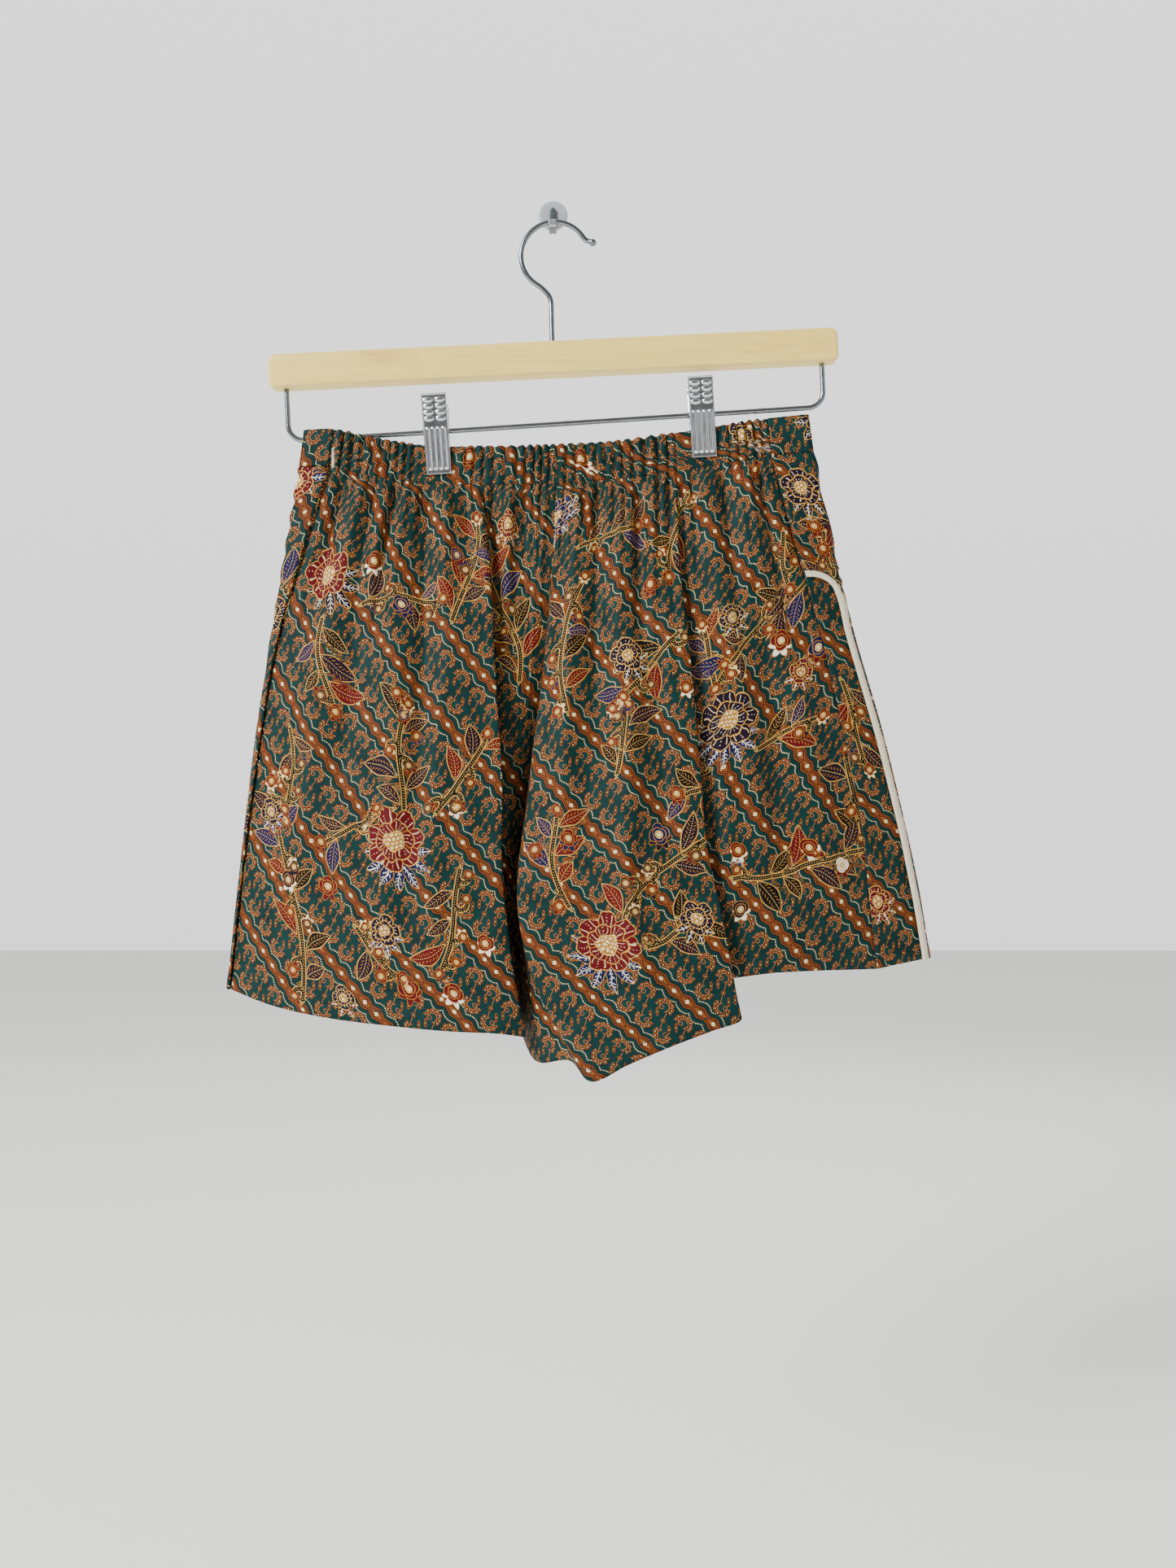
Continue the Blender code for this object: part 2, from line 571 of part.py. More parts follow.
def wire_mesh(name, route, radii, sides=8):
    # A round wire along a route in the hanging plane
    points = []
    for index, centre in enumerate(route):
        ahead = route[min(index + 1, len(route) - 1)]
        behind = route[max(index - 1, 0)]
        along = (ahead - behind).normalized()
        deep = Vector((0, 1, 0))
        across = along.cross(deep).normalized()
        for side in range(sides):
            angle = 2 * math.pi * (side + 0.5) / sides
            points.append(centre + (across * math.cos(angle) + deep * math.sin(angle)) * radii[index])
    return tube_mesh(name, points, sides)


def arc(centre, radius, start, end, steps):
    # Points of an arc in the hanging plane, angles in degrees
    found = []
    for step in range(steps + 1):
        angle = math.radians(start + (end - start) * step / steps)
        across, up = radius * math.cos(angle), radius * math.sin(angle)
        found.append(Vector((centre[0] + across, HANG_Y, centre[1] + up)))
    return found


HANGER_AT = Matrix.Translation((0, 0, BAR_TOP_Z)) @ Matrix.Rotation(-BAR_TILT, 4, "Y")
STEEL = (0.62, 0.63, 0.64)


def in_hanger(x, z):
    # A point of the hanging plane from the tilted bar's own axes
    return HANGER_AT @ Vector((x, HANG_Y, z))


def cutter(name, mesh):
    made = bpy.data.objects.new(name, mesh)
    bpy.context.collection.objects.link(made)
    made.hide_render = True
    made.display_type = "WIRE"
    return made


def boolean(target, tool, operation):
    step = target.modifiers.new(tool.name, "BOOLEAN")
    step.operation = operation
    step.object = tool


def round_bar_cutter(name, start, end, radius, sides=16):
    along = (end - start).normalized()
    across = along.orthogonal().normalized()
    deep = along.cross(across)
    points = []
    for centre in (start, end):
        for side in range(sides):
            angle = 2 * math.pi * side / sides
            points.append(centre + (across * math.cos(angle) + deep * math.sin(angle)) * radius)
    return cutter(name, tube_mesh(name, points, sides))


def wooden_bar():
    half, high = BAR_LENGTH / 2, BAR_HEIGHT
    corners = ((half, 0, 0, BAR_CORNER), (half, -high, 270, 0.7 * BAR_CORNER),
               (-half, -high, 180, 0.7 * BAR_CORNER), (-half, 0, 90, BAR_CORNER))
    points = []
    for deep, inset in ((-1.0, BAR_EDGE), (-1.0 + 2 * BAR_EDGE / BAR_DEPTH, 0.0),
                        (1.0 - 2 * BAR_EDGE / BAR_DEPTH, 0.0), (1.0, BAR_EDGE)):
        for x, z, start, radius in corners:
            centre_x = x - math.copysign(radius, x)
            centre_z = z - radius if z == 0 else z + radius
            for step in range(5):
                angle = math.radians(start + 90 - 90 * step / 4)
                size = radius - inset
                points.append(HANGER_AT @ Vector((centre_x + size * math.cos(angle),
                                                  HANG_Y + deep * BAR_DEPTH / 2,
                                                  centre_z + size * math.sin(angle))))
    bar = add_object("hanger_bar", tube_mesh("hanger_bar", points, 20), (0.76, 0.66, 0.43), 0.45)
    holes = {"hook_socket": (0.0, 0.0, HOOK_WIRE_R), "rail_socket_left": (-RAIL_HALF, -high, RAIL_WIRE_R),
             "rail_socket_right": (RAIL_HALF, -high, RAIL_WIRE_R)}
    for name, (x, z, radius) in holes.items():
        sign = -1 if z == 0 else 1
        tool = round_bar_cutter(name, in_hanger(x, z - sign * 2 * MM), in_hanger(x, z + sign * SOCKET_DEPTH),
                                radius + CLEAR)
        boolean(bar, tool, "DIFFERENCE")


def hanger_hook():
    foot = in_hanger(0.0, -SOCKET_DEPTH + CLEAR)
    neck = Vector((-0.7 * MM, HANG_Y, -60.0 * MM))
    bow = arc(HOOK_CENTRE, HOOK_R, HOOK_START_DEG, HOOK_END_DEG, 22)
    bend = [Vector((-1.4 * MM, HANG_Y, -56.2 * MM)), Vector((-4.6 * MM, HANG_Y, -52.4 * MM))]
    tip = Vector((25.7 * MM, HANG_Y, -21.4 * MM))
    tail = [Vector((21.6 * MM, HANG_Y, -20.1 * MM))]
    route = [foot, in_hanger(0.0, 0.0), neck] + bend + bow + tail
    along = (tip - tail[-1]).normalized()
    radii = [HOOK_WIRE_R] * len(route)
    for share in (-0.78, -0.45, 0.0, 0.5, 0.85, 0.98):
        route.append(tip + along * HOOK_BALL_R * share)
        radii.append(HOOK_BALL_R * math.sqrt(1 - share * share) + 0.05 * MM)
    add_object("hanger_hook", wire_mesh("hanger_hook", route, radii), STEEL, 0.2, 1.0)


def rail_height(x):
    # Height of the rail's middle below the bar's top, in the bar's own axes
    share = (x + RAIL_HALF) / (2 * RAIL_HALF)
    return -(RAIL_DROP_LEFT + (RAIL_DROP_RIGHT - RAIL_DROP_LEFT) * share)


def hanger_rail():
    top = -BAR_HEIGHT + SOCKET_DEPTH - CLEAR
    route = [in_hanger(-RAIL_HALF, top), in_hanger(-RAIL_HALF, -BAR_HEIGHT)]
    for step in range(6):
        angle = math.radians(180 + 90 * step / 5)
        route.append(in_hanger(-RAIL_HALF + RAIL_BEND_R * (1 + math.cos(angle)),
                               -RAIL_DROP_LEFT + RAIL_BEND_R * (1 + math.sin(angle))))
    for step in range(6):
        angle = math.radians(270 + 90 * step / 5)
        route.append(in_hanger(RAIL_HALF + RAIL_BEND_R * (math.cos(angle) - 1),
                               -RAIL_DROP_RIGHT + RAIL_BEND_R * (1 + math.sin(angle))))
    route += [in_hanger(RAIL_HALF, -BAR_HEIGHT), in_hanger(RAIL_HALF, top)]
    add_object("hanger_rail", wire_mesh("hanger_rail", route, [RAIL_WIRE_R] * len(route)), STEEL, 0.2, 1.0)


def rail_frame(x):
    # Axes of a clip: its origin on the rail's middle, X along the rail
    ends = [in_hanger(side * (RAIL_HALF - RAIL_BEND_R), rail_height(side * RAIL_HALF)) for side in (-1, 1)]
    along = (ends[1] - ends[0]).normalized()
    at = ends[0] + along * ((x - ends[0].x) / along.x)
    return Matrix.Translation(at) @ Matrix.Rotation(-math.atan2(along.z, along.x), 4, "Y")


def relief_height(x, z):
    # Raised pattern of the outer jaw: two columns of four ovals above four upright ribs
    if z > RIB_TOP:
        rise = 0.0
        for row in range(OVAL_ROWS):
            for column in (-1, 1):
                across = (x - column * OVAL_OUT) / (3.1 * MM)
                down = (z - (OVAL_TOP - OVAL_PITCH * row)) / (1.75 * MM)
                rise = max(rise, 1 - across * across - down * down)
        return RELIEF * math.sqrt(max(rise, 0.0))
    ends = min(1.0, (RIB_TOP - z) / (1.2 * MM)) * min(1.0, max(0.0, (z - RIB_END) / (1.0 * MM)))
    wave = 0.5 - 0.5 * math.cos(2 * math.pi * x / RIB_PITCH)
    inside = 1.0 if abs(x) < 2 * RIB_PITCH + 0.05 * MM else 0.0
    return RELIEF * wave * ends * inside


def outer_jaw_mesh(name, at):
    edge = CLIP_WIDTH / 2
    xs = [-edge, -edge + 0.5 * MM] + [step * RIB_PITCH / 2 for step in range(-4, 5)] + [edge - 0.5 * MM, edge]
    zs = [CLIP_ABOVE, CLIP_ABOVE - 0.9 * MM]
    for row in range(OVAL_ROWS):
        zs += [OVAL_TOP - OVAL_PITCH * row + offset * MM for offset in (1.5, 0.0, -1.5)]
    zs += [5.0 * MM, RIB_TOP - 0.2 * MM, RIB_TOP - 1.4 * MM, RIB_END + 1.0 * MM, RIB_END - 0.1 * MM]
    zs += [-CLIP_BELOW + 0.8 * MM, -CLIP_BELOW]
    zs = sorted(set(round(z, 7) for z in zs), reverse=True)
    points, faces = [], []
    for j, z in enumerate(zs):
        for i, x in enumerate(xs):
            rim = i in (0, len(xs) - 1) or j in (0, len(zs) - 1)
            rise = -0.35 * MM if rim else relief_height(x, z)
            points.append(at @ Vector((x, -CLIP_STAND - CLIP_SHEET / 2 - rise, z)))
    wide, high = len(xs), len(zs)
    for j in range(high - 1):
        for i in range(wide - 1):
            faces.append((j * wide + i, j * wide + i + 1, (j + 1) * wide + i + 1, (j + 1) * wide + i))
    rim = list(range(wide)) + [j * wide + wide - 1 for j in range(1, high)]
    rim += [(high - 1) * wide + i for i in range(wide - 2, -1, -1)]
    rim += [j * wide for j in range(high - 2, 0, -1)]
    base = len(points)
    for index in rim:
        x, z = xs[index % wide], zs[index // wide]
        points.append(at @ Vector((x, -CLIP_STAND + CLIP_SHEET / 2, z)))
    for k, a in enumerate(rim):
        following = (k + 1) % len(rim)
        faces.append((a, base + k, base + following, rim[following]))
    faces.append(tuple(range(base, base + len(rim))))
    return mesh_from(name, points, faces)


def ear_cutter(name, at, x_in, toward):
    # One ear of a jaw: a plate across the rail, its far end half round
    points = []
    root = toward * (CLIP_STAND - 0.05 * MM)
    profile = [(root, EAR_ROOT), (root, -EAR_ROOT)]
    for step in range(7):
        angle = math.radians(-90 + 180 * step / 6)
        profile.append((-toward * EAR_BACK * math.cos(angle), EAR_R * math.sin(angle)))
    for x in (x_in, x_in + CLIP_SHEET):
        points += [at @ Vector((x, y, z)) for y, z in profile]
    return cutter(name, tube_mesh(name, points, len(profile)))


def inner_jaw_mesh(name, at):
    # A plain lever with a curled top end, as a side profile drawn out across the clip
    near, far = CLIP_STAND - CLIP_SHEET / 2, CLIP_STAND + CLIP_SHEET / 2
    profile = [(near, -CLIP_BELOW), (far, -CLIP_BELOW + 0.3 * MM), (far, CURL_Z - 1.6 * MM)]
    for step in range(7):
        angle = math.radians(-60 + 220 * step / 6)
        profile.append((far + CURL_R * math.cos(angle) - 0.2 * MM, CURL_Z + CURL_R * math.sin(angle)))
    profile.append((near, CURL_Z - 1.2 * MM))
    half = CLIP_WIDTH / 2 - 0.4 * MM
    points = [at @ Vector((x, y, z)) for x in (-half, half) for y, z in profile]
    return tube_mesh(name, points, len(profile))


def clip(side, x):
    frame = rail_frame(x)
    outer_at = frame @ Matrix.Rotation(OUTER_JAW_LEAN, 4, "X")
    inner_at = frame @ Matrix.Rotation(-INNER_JAW_LEAN, 4, "X")
    reach = CLIP_WIDTH * Vector((1, 0, 0))
    bore = round_bar_cutter("clip_bore_" + side, frame @ -reach, frame @ reach, RAIL_WIRE_R + CLEAR)
    outer_name, inner_name = "clip_" + side + "_outer_jaw", "clip_" + side + "_inner_jaw"
    outer = add_object(outer_name, outer_jaw_mesh(outer_name, outer_at), STEEL, 0.22, 1.0)
    inner = add_object(inner_name, inner_jaw_mesh(inner_name, inner_at), STEEL, 0.25, 1.0)
    for sign, label in ((-1, "a"), (1, "b")):
        outer_x = OUTER_EAR_X if sign == 1 else -OUTER_EAR_X - CLIP_SHEET
        inner_x = INNER_EAR_X if sign == 1 else -INNER_EAR_X - CLIP_SHEET
        boolean(outer, ear_cutter("ear_outer_" + side + label, outer_at, outer_x, -1), "UNION")
        boolean(inner, ear_cutter("ear_inner_" + side + label, inner_at, inner_x, 1), "UNION")
    boolean(outer, bore, "DIFFERENCE")
    boolean(inner, bore, "DIFFERENCE")
    spring(side, frame)


def spring(side, frame):
    # The clip's spring, its turns as rounds on a sleeve about the rail
    sides = 10
    profile = [(-SPRING_HALF, RAIL_WIRE_R + CLEAR)]
    for step in range(2 * SPRING_TURNS + 1):
        radius = SPRING_LOW if step % 2 == 0 else SPRING_HIGH
        profile.append((-SPRING_HALF + SPRING_HALF * step / SPRING_TURNS, radius))
    profile.append((SPRING_HALF, RAIL_WIRE_R + CLEAR))
    points, faces = [], []
    for x, radius in profile:
        for k in range(sides):
            angle = 2 * math.pi * k / sides
            points.append(frame @ Vector((x, radius * math.cos(angle), radius * math.sin(angle))))
    rings = len(profile)
    for ring in range(rings):
        following = (ring + 1) % rings
        for k in range(sides):
            a, b = ring * sides + k, ring * sides + (k + 1) % sides
            faces.append((a, b, following * sides + (k + 1) % sides, following * sides + k))
    name = "clip_" + side + "_spring"
    add_object(name, mesh_from(name, points, faces), STEEL, 0.3, 1.0)


def wall_disc():
    # A round pad with a softened rim, its back flat on the wall
    sides = 32
    points = []
    for y, radius in ((0.0, DISC_R - 0.3 * MM), (-1.0 * MM, DISC_R), (-2.2 * MM, DISC_R - 0.3 * MM),
                      (-DISC_DEPTH, DISC_R - 1.3 * MM)):
        for k in range(sides):
            angle = 2 * math.pi * k / sides
            points.append((radius * math.cos(angle), y, radius * math.sin(angle)))
    add_object("wall_disc", tube_mesh("wall_disc", points, sides), (0.55, 0.56, 0.56), 0.35)


def wall_hook():
    # A pointed strip on the pad, and a shelf with a turned-up lip that carries the hanger's hook
    front = -DISC_DEPTH - CLEAR
    bow_drop = HOOK_R - math.sqrt(HOOK_R ** 2 - (HOOK_CENTRE[0] + SHELF_HALF) ** 2)
    outline = [(0.0, STRIP_POINT), (STRIP_HALF, STRIP_SHOULDER), (STRIP_HALF, STRIP_FOOT),
               (-STRIP_HALF, STRIP_FOOT), (-STRIP_HALF, STRIP_SHOULDER)]
    points = [(x, y, z) for y in (front, front - STRIP_DEPTH) for x, z in outline]
    mesh = tube_mesh("wall_hook", points, len(outline))
    strip = add_object("wall_hook", mesh, (0.20, 0.21, 0.21), 0.35, 0.6)
    shelf_top = HOOK_CENTRE[1] + HOOK_R - bow_drop - HOOK_WIRE_R - CLEAR
    shelf_low = shelf_top - SHELF_DEPTH
    lip_y = HANG_Y - HOOK_WIRE_R - 0.9 * MM
    profile = [(front - 0.4 * MM, shelf_top), (lip_y, shelf_top), (lip_y - 0.3 * MM, shelf_top + 2.2 * MM),
               (lip_y - 0.9 * MM, shelf_top + 2.6 * MM), (lip_y - 1.6 * MM, shelf_top + 2.0 * MM),
               (lip_y - 1.8 * MM, shelf_low + 1.0 * MM), (lip_y - 1.0 * MM, shelf_low),
               (front - 0.4 * MM, shelf_low)]
    points = [(x, y, z) for x in (-SHELF_HALF, SHELF_HALF) for y, z in profile]
    boolean(strip, cutter("hook_shelf", tube_mesh("hook_shelf", points, len(profile))), "UNION")


def main():
    remove_all()
    panels = shorts()
    skirt_overlay()
    skirt_binding()
    waistband_back(panels)
    waistband_front()
    wooden_bar()
    hanger_hook()
    hanger_rail()
    for side, x in CLIP_XS.items():
        clip(side, x)
    wall_disc()
    wall_hook()


main()
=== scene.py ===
# Batik skort on a wooden clip hanger: the cloth, its print, the hanger, and plain studio light.
import math
from functools import partial, reduce

import bpy
import numpy as np
from mathutils import Matrix, Vector


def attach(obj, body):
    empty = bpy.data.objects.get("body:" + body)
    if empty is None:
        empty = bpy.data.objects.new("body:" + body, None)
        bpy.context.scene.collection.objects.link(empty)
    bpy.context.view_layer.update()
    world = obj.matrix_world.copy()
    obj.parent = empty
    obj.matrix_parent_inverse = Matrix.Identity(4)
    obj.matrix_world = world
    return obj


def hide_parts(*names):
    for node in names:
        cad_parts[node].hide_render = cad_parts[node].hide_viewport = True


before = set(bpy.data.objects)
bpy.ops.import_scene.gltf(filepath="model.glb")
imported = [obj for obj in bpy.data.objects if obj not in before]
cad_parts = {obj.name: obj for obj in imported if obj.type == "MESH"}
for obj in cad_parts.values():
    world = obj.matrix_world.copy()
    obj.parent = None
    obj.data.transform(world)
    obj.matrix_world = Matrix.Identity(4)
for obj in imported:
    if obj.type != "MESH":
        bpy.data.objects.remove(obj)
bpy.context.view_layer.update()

mm = 0.001
print("frame:", len(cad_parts), "nodes")

# Where the photo was taken from, and the plane of the hanger that the outlines are measured in
view = {
    "hangY": -12.0 * mm,
    "eye": Vector((22.7 * mm, -912.0 * mm, -368.0 * mm)),
    "lens": 32.28,      # mm, on 36 mm for the long side
    "farClip": 20.0,
}
cloth = {
    "thickness": 0.7 * mm,
    "bandHeight": 24.0 * mm,
    "seamGap": 0.3 * mm,
    "overlayLift": 2.2 * mm,
    "seamGroove": 0.25 * mm,    # how far a sewn edge is drawn in
    "seamReach": 2.2 * mm,
    "hemFold": 9.0 * mm,        # the turned-up hem, a little thicker than the leg
    "hemRise": 0.35 * mm,
    "length": 370 * mm,
    "rowStep": 2.6 * mm,
    "density": 6,               # columns to each step between stations
    "dip": 12.5 * mm,           # how far the front legs bend back between the thighs
    "dipReach": 62 * mm,
    "foldGain": 2.1,            # the main folds' heights are multiplied by this
    "backTaper": 7 * mm,        # how far from a panel's side edges its folds fade out
    "frontTaper": 9 * mm,
}

# The waist's top edge in millimetres: it sags between the clips
waistX = (-159.8, -141, -119, -83, -40, 6, 52, 86, 123, 166)
waistZ = (-142.8, -142.6, -147.2, -151.3, -152.3, -151.6, -147.7, -142.5, -136.8, -131.5)

# Levels down a panel, as a share of its length; the legs part at the crotch level
levels = (0.00, 0.15, 0.35, 0.55, 0.72, 0.86, 1.00)
crotch = 0.72

# Stations across the cloth, in mm: steps to the next one, x as the camera sees it at each level,
# depth y at each level, and the hem's height as the camera sees it
seamLeft = (3, (-143, -158, -176, -187, -194.5, -200, -205.2), (-18.2, -16, -14.4, -14, -14.3, -14.7, -15), -499.5)
seamRight = (0, (140.1, 153, 171.7, 186.7, 197.5, 202.7, 207.8), (-13.4, -15.5, -18.5, -21, -23, -24.5, -25.5), -486.3)
backLeft = (
    seamLeft,
    (4, (-130, -144, -158, -167, -172, -176, -180), (-18.0, -19.5, -23, -26, -28, -29.5, -31), -509.5),
    (4, (-110, -120, -128, -133, -136, -139, -142), (-17.9, -21.9, -31, -36, -39.5, -42, -44), -518.0),
    (4, (-88, -93, -97, -99, -101, -102.5, -104), (-13.55, -23, -35, -42, -46.5, -50, -52.5), -522.8),
    (3, (-66, -68, -69, -69, -69, -68, -66), (-13.2, -24, -37.5, -45, -50, -53.5, -56), -526.3),
    # the S fold, its underside, and the strip left of the middle seam
    (4, (-55, -51, -48.5, -46, -45, -41, -33), (-13.9, -25, -38.5, -46.5, -51.5, -55, -57.5), -528.0),
    (3, (-47, -40.6, -36.8, -32, -32.3, -26.8, -17.7), (-14.6, -24.5, -37, -44.5, -49.5, -52.5, -54.5), -530.0),
    (3, (-45.5, -42.5, -41, -38, -39, -34, -26), (-14.6, -21.5, -33.5, -41, -46, -49, -51), -528.0),
    (3, (-44, -44, -46.5, -46, -47, -43, -35), (-14.5, -19.5, -30, -37, -42, -45, -47), -526.0),
    (3, (-36, -37, -40, -40, -42, -38, -31), (-14.2, -17.5, -26.5, -33, -37.5, -40, -42), -525.0),
    (3, (-16, -18, -20, -25, -32, -30, -26.5), (-14.1, -17, -24.5, -29.5, -32, -33, -34), -526.0),
    (0, (2.6, -0.5, -6.4, -15.4, -23.1, -24, -23.5), (-14.2, -17.5, -21.5, -21.5, -19.5, -19.5, -19.5), -524.0),
)
backRight = (
    (2, (2.6, -0.5, -6.4, -15.4, -21.3, -20.5, -20), (-14.2, -17.5, -21.5, -21.5, -19.5, -19.5, -19.5), -524.0),
    (2, (3.4, 0, -6.4, -15.6, -22.2, -15, -10), (-14.3, -19.5, -28, -33, -36, -42, -46), -545.5),
    (3, (4.2, 0.8, -6, -15.2, -22, -12, 12.5), (-14.4, -21, -32, -40, -46, -52, -64), -545.5),
    (4, (5, 1.5, -5.5, -14.5, -21.4, -9, 24.5), (-14.5, -22.5, -36, -46, -53, -60, -74), -558.3),
    (4, (20, 17, 14, 9, 3, 18, 48), (-14, -24.5, -39, -49.5, -56.5, -63, -73), -548.0),
    (4, (45, 45, 45, 44, 44, 56, 76), (-13.8, -25.5, -40.5, -51, -57.5, -63, -71), -536.0),
    (4, (66, 66, 69, 72, 76, 88, 101), (-13.5, -25, -40, -50, -56, -61, -68), -526.5),
    # the deep pleat, and the outer part of the leg beyond it
    (4, (78.6, 81, 87.5, 94, 100.3, 111.5, 120.8), (-13.5, -24, -38, -46.5, -52, -57, -62), -518.0),
    (3, (80, 80.5, 83, 85, 87.5, 96, 103), (-13.4, -21.5, -34, -42, -47.5, -52, -57), -505.0),
    (3, (81.5, 80, 79.5, 78.5, 78, 84, 89), (-13.3, -19.8, -31, -38.5, -44, -48.5, -53), -497.0),
    (3, (84, 83.5, 86, 88, 90, 98, 105), (-13.2, -18.8, -28.5, -35.5, -40.5, -44.5, -49), -492.0),
    (4, (94, 95, 99, 104, 108, 117, 124), (-13.15, -18.8, -28.5, -36, -41, -44.5, -48), -490.0),
    (4, (114, 119, 127, 136, 143, 150, 156), (-13.3, -18.5, -27, -33.5, -37.5, -40, -42), -488.0),
    seamRight,
)
sideRight = (2, (166, 176.2, 190.2, 208.7, 222.1, 231.9, 239.4), (-11.6, -10.3, -10, -10.2, -10.5, -10.8, -11), -479.2)
frontMid = (4, (2.6, 0, -5.5, -14, -22.2, -22.3, -21.8), (-11, -8.8, -7.2, -7, -7, -7, -7), -518.0)
frontRound = (
    seamLeft,
    (3, (-161, -169, -180, -189, -196, -201.3, -206), (-16.9, -12.5, -10.2, -10, -10, -10.2, -10.5), -498.0),
    (3, (-148, -157, -169, -177, -184, -189, -194), (-16.3, -10.5, -7.9, -7.4, -7.2, -7.2, -7.2), -499.5),
    (3, (-118, -128, -138, -145, -150, -154, -158), (-15.8, -9.8, -7.6, -7.2, -7, -7, -7), -505.0),
    (2, (-94, -98, -103, -107, -110, -113, -116), (-11.9, -9, -7.5, -7, -7, -7, -7), -508.0),
    (3, (-62, -66, -69, -72, -75, -77, -79), (-11.7, -8.9, -7.4, -7, -7, -7, -7), -510.0),
    frontMid,
    (4, (90, 95, 102, 107, 111, 114, 117), (-11.65, -9, -7.5, -7, -7, -7, -7), -492.0),
    (3, (152, 163, 179, 196, 209, 218, 226), (-11.3, -8.8, -7.8, -7.4, -7.2, -7.2, -7.2), -481.0),
    sideRight,
    seamRight,
)

# Main folds from the gathered waist, in mm: place on the waist, width, height, share of the length reached
mainFolds = (
    (-119, 5.0, 1.6, 0.40), (-104, 4.0, 1.2, 0.25), (-92, 5.5, 2.0, 0.55), (-66, 4.5, 1.8, 0.35),
    (-27, 4.5, 1.3, 0.18), (-10, 4.5, 1.2, 0.20), (18, 5.0, 1.8, 0.45), (43, 5.0, 2.0, 0.60),
    (67, 4.5, 1.7, 0.35), (99, 4.5, 1.3, 0.24), (122, 5.0, 1.8, 0.30), (136, 4.0, 1.2, 0.30),
    (-131, 2.6, -1.5, 0.35), (-111, 2.6, -1.3, 0.30), (-99, 2.6, -1.6, 0.45), (-78, 2.8, -1.6, 0.40),
    (-20, 2.4, -1.2, 0.28), (2, 2.4, -1.1, 0.25), (31, 2.8, -1.7, 0.42), (56, 2.8, -1.8, 0.50),
    (84, 2.6, -1.4, 0.30), (110, 2.8, -1.6, 0.42), (130, 2.6, -1.4, 0.35), (146, 2.6, -1.1, 0.30),
)
# Soft creases of the hanging legs, in mm as the camera sees them: start x and z, end x and z, width, height
backCreases = (
    (-140, -230, -168, -470, 9, 3.2), (-118, -210, -136, -400, 8, -2.8), (-100, -260, -112, -505, 10, 3.8),
    (-80, -235, -84, -420, 8, -3.2), (-72, -260, -75, -510, 11, 2.8), (-150, -350, -120, -480, 8, 2.0),
    (16, -230, 10, -430, 8, 3.2), (30, -240, 30, -380, 7, -2.5), (52, -250, 52, -480, 9, 3.8),
    (66, -220, 78, -440, 8, -3.2), (40, -400, 70, -520, 9, 2.8), (112, -220, 130, -440, 9, 3.2),
    (126, -210, 150, -470, 8, -2.8), (100, -260, 112, -470, 7, 2.5), (-50, -270, -49, -520, 8, -1.9),
    (150, -260, 180, -470, 8, 2.2),
)
frontCreases = (
    (-130, -200, -150, -420, 10, 1.3), (-70, -190, -78, -460, 11, -1.6), (-20, -210, -30, -400, 10, 1.6),
    (40, -190, 30, -480, 11, -1.3), (92, -200, 104, -440, 10, 1.6), (150, -220, 180, -450, 9, -1.0),
)


def curveThrough(knots, values, at):    # a smooth curve through values at uneven knots
    knots, values = np.asarray(knots, float), np.asarray(values, float)
    flat = values.reshape(len(knots), -1)
    steps = np.diff(knots)[:, None]
    rises = np.diff(flat, axis=0) / steps
    middles = (steps[:-1] * rises[1:] + steps[1:] * rises[:-1]) / (steps[:-1] + steps[1:])
    slopes = np.vstack([rises[:1], middles, rises[-1:]])
    at = np.clip(np.atleast_1d(np.asarray(at, float)), knots[0], knots[-1])
    left = np.clip(np.searchsorted(knots, at, side="right") - 1, 0, len(knots) - 2)
    span = (knots[left + 1] - knots[left])[:, None]
    t = (at[:, None] - knots[left][:, None]) / span
    found = ((2 * t**3 - 3 * t**2 + 1) * flat[left] + (t**3 - 2 * t**2 + t) * span * slopes[left]
             + (3 * t**2 - 2 * t**3) * flat[left + 1] + (t**3 - t**2) * span * slopes[left + 1])
    return found.reshape((len(at),) + values.shape[1:])


def evenly(stops, count, scale=1.0):    # stops as a smooth line in evenly spaced points
    stops = np.array([tuple(stop) for stop in stops], float)
    knots = np.concatenate([[0], np.cumsum(np.linalg.norm(np.diff(stops * scale, axis=0), axis=1))])
    return curveThrough(knots, stops, np.linspace(0, knots[-1], count))


def place(x, y, z):     # from the hanging plane along the line of sight to depth y
    eye = view["eye"]
    reach = (y - eye.y) / (view["hangY"] - eye.y)
    return np.stack([eye.x + (x - eye.x) * reach, y, eye.z + (z - eye.z) * reach], axis=-1)


def seen(points):       # where the camera sees a point, in mm on the hanging plane
    eye = view["eye"]
    reach = (view["hangY"] - eye.y) / (points[..., 1] - eye.y)
    return np.stack([eye.x + (points[..., 0] - eye.x) * reach, eye.z + (points[..., 2] - eye.z) * reach], -1) / mm


def stationsAt(stations, level):
    xs, ys = (curveThrough(levels, np.array([row[k] for row in stations], float).T, level)[0] for k in (1, 2))
    hemY, hemZ = (np.array(values) for values in zip(*((row[2][-1], row[3]) for row in stations)))
    points = place(xs * mm, ys * mm, hemZ * mm)
    points[:, 2] = place(xs * mm, hemY * mm, hemZ * mm)[:, 2]
    return points


def rowThrough(points, counts):
    spans = np.sqrt(np.linalg.norm(np.diff(points[:, :2], axis=0), axis=1))
    knots = np.concatenate([[0], np.cumsum(spans)])
    at = [knots[0]]
    for index, count in enumerate(counts):
        at.extend(knots[index] + (knots[index + 1] - knots[index]) * (np.arange(count) + 1) / count)
    return curveThrough(knots, points, at)


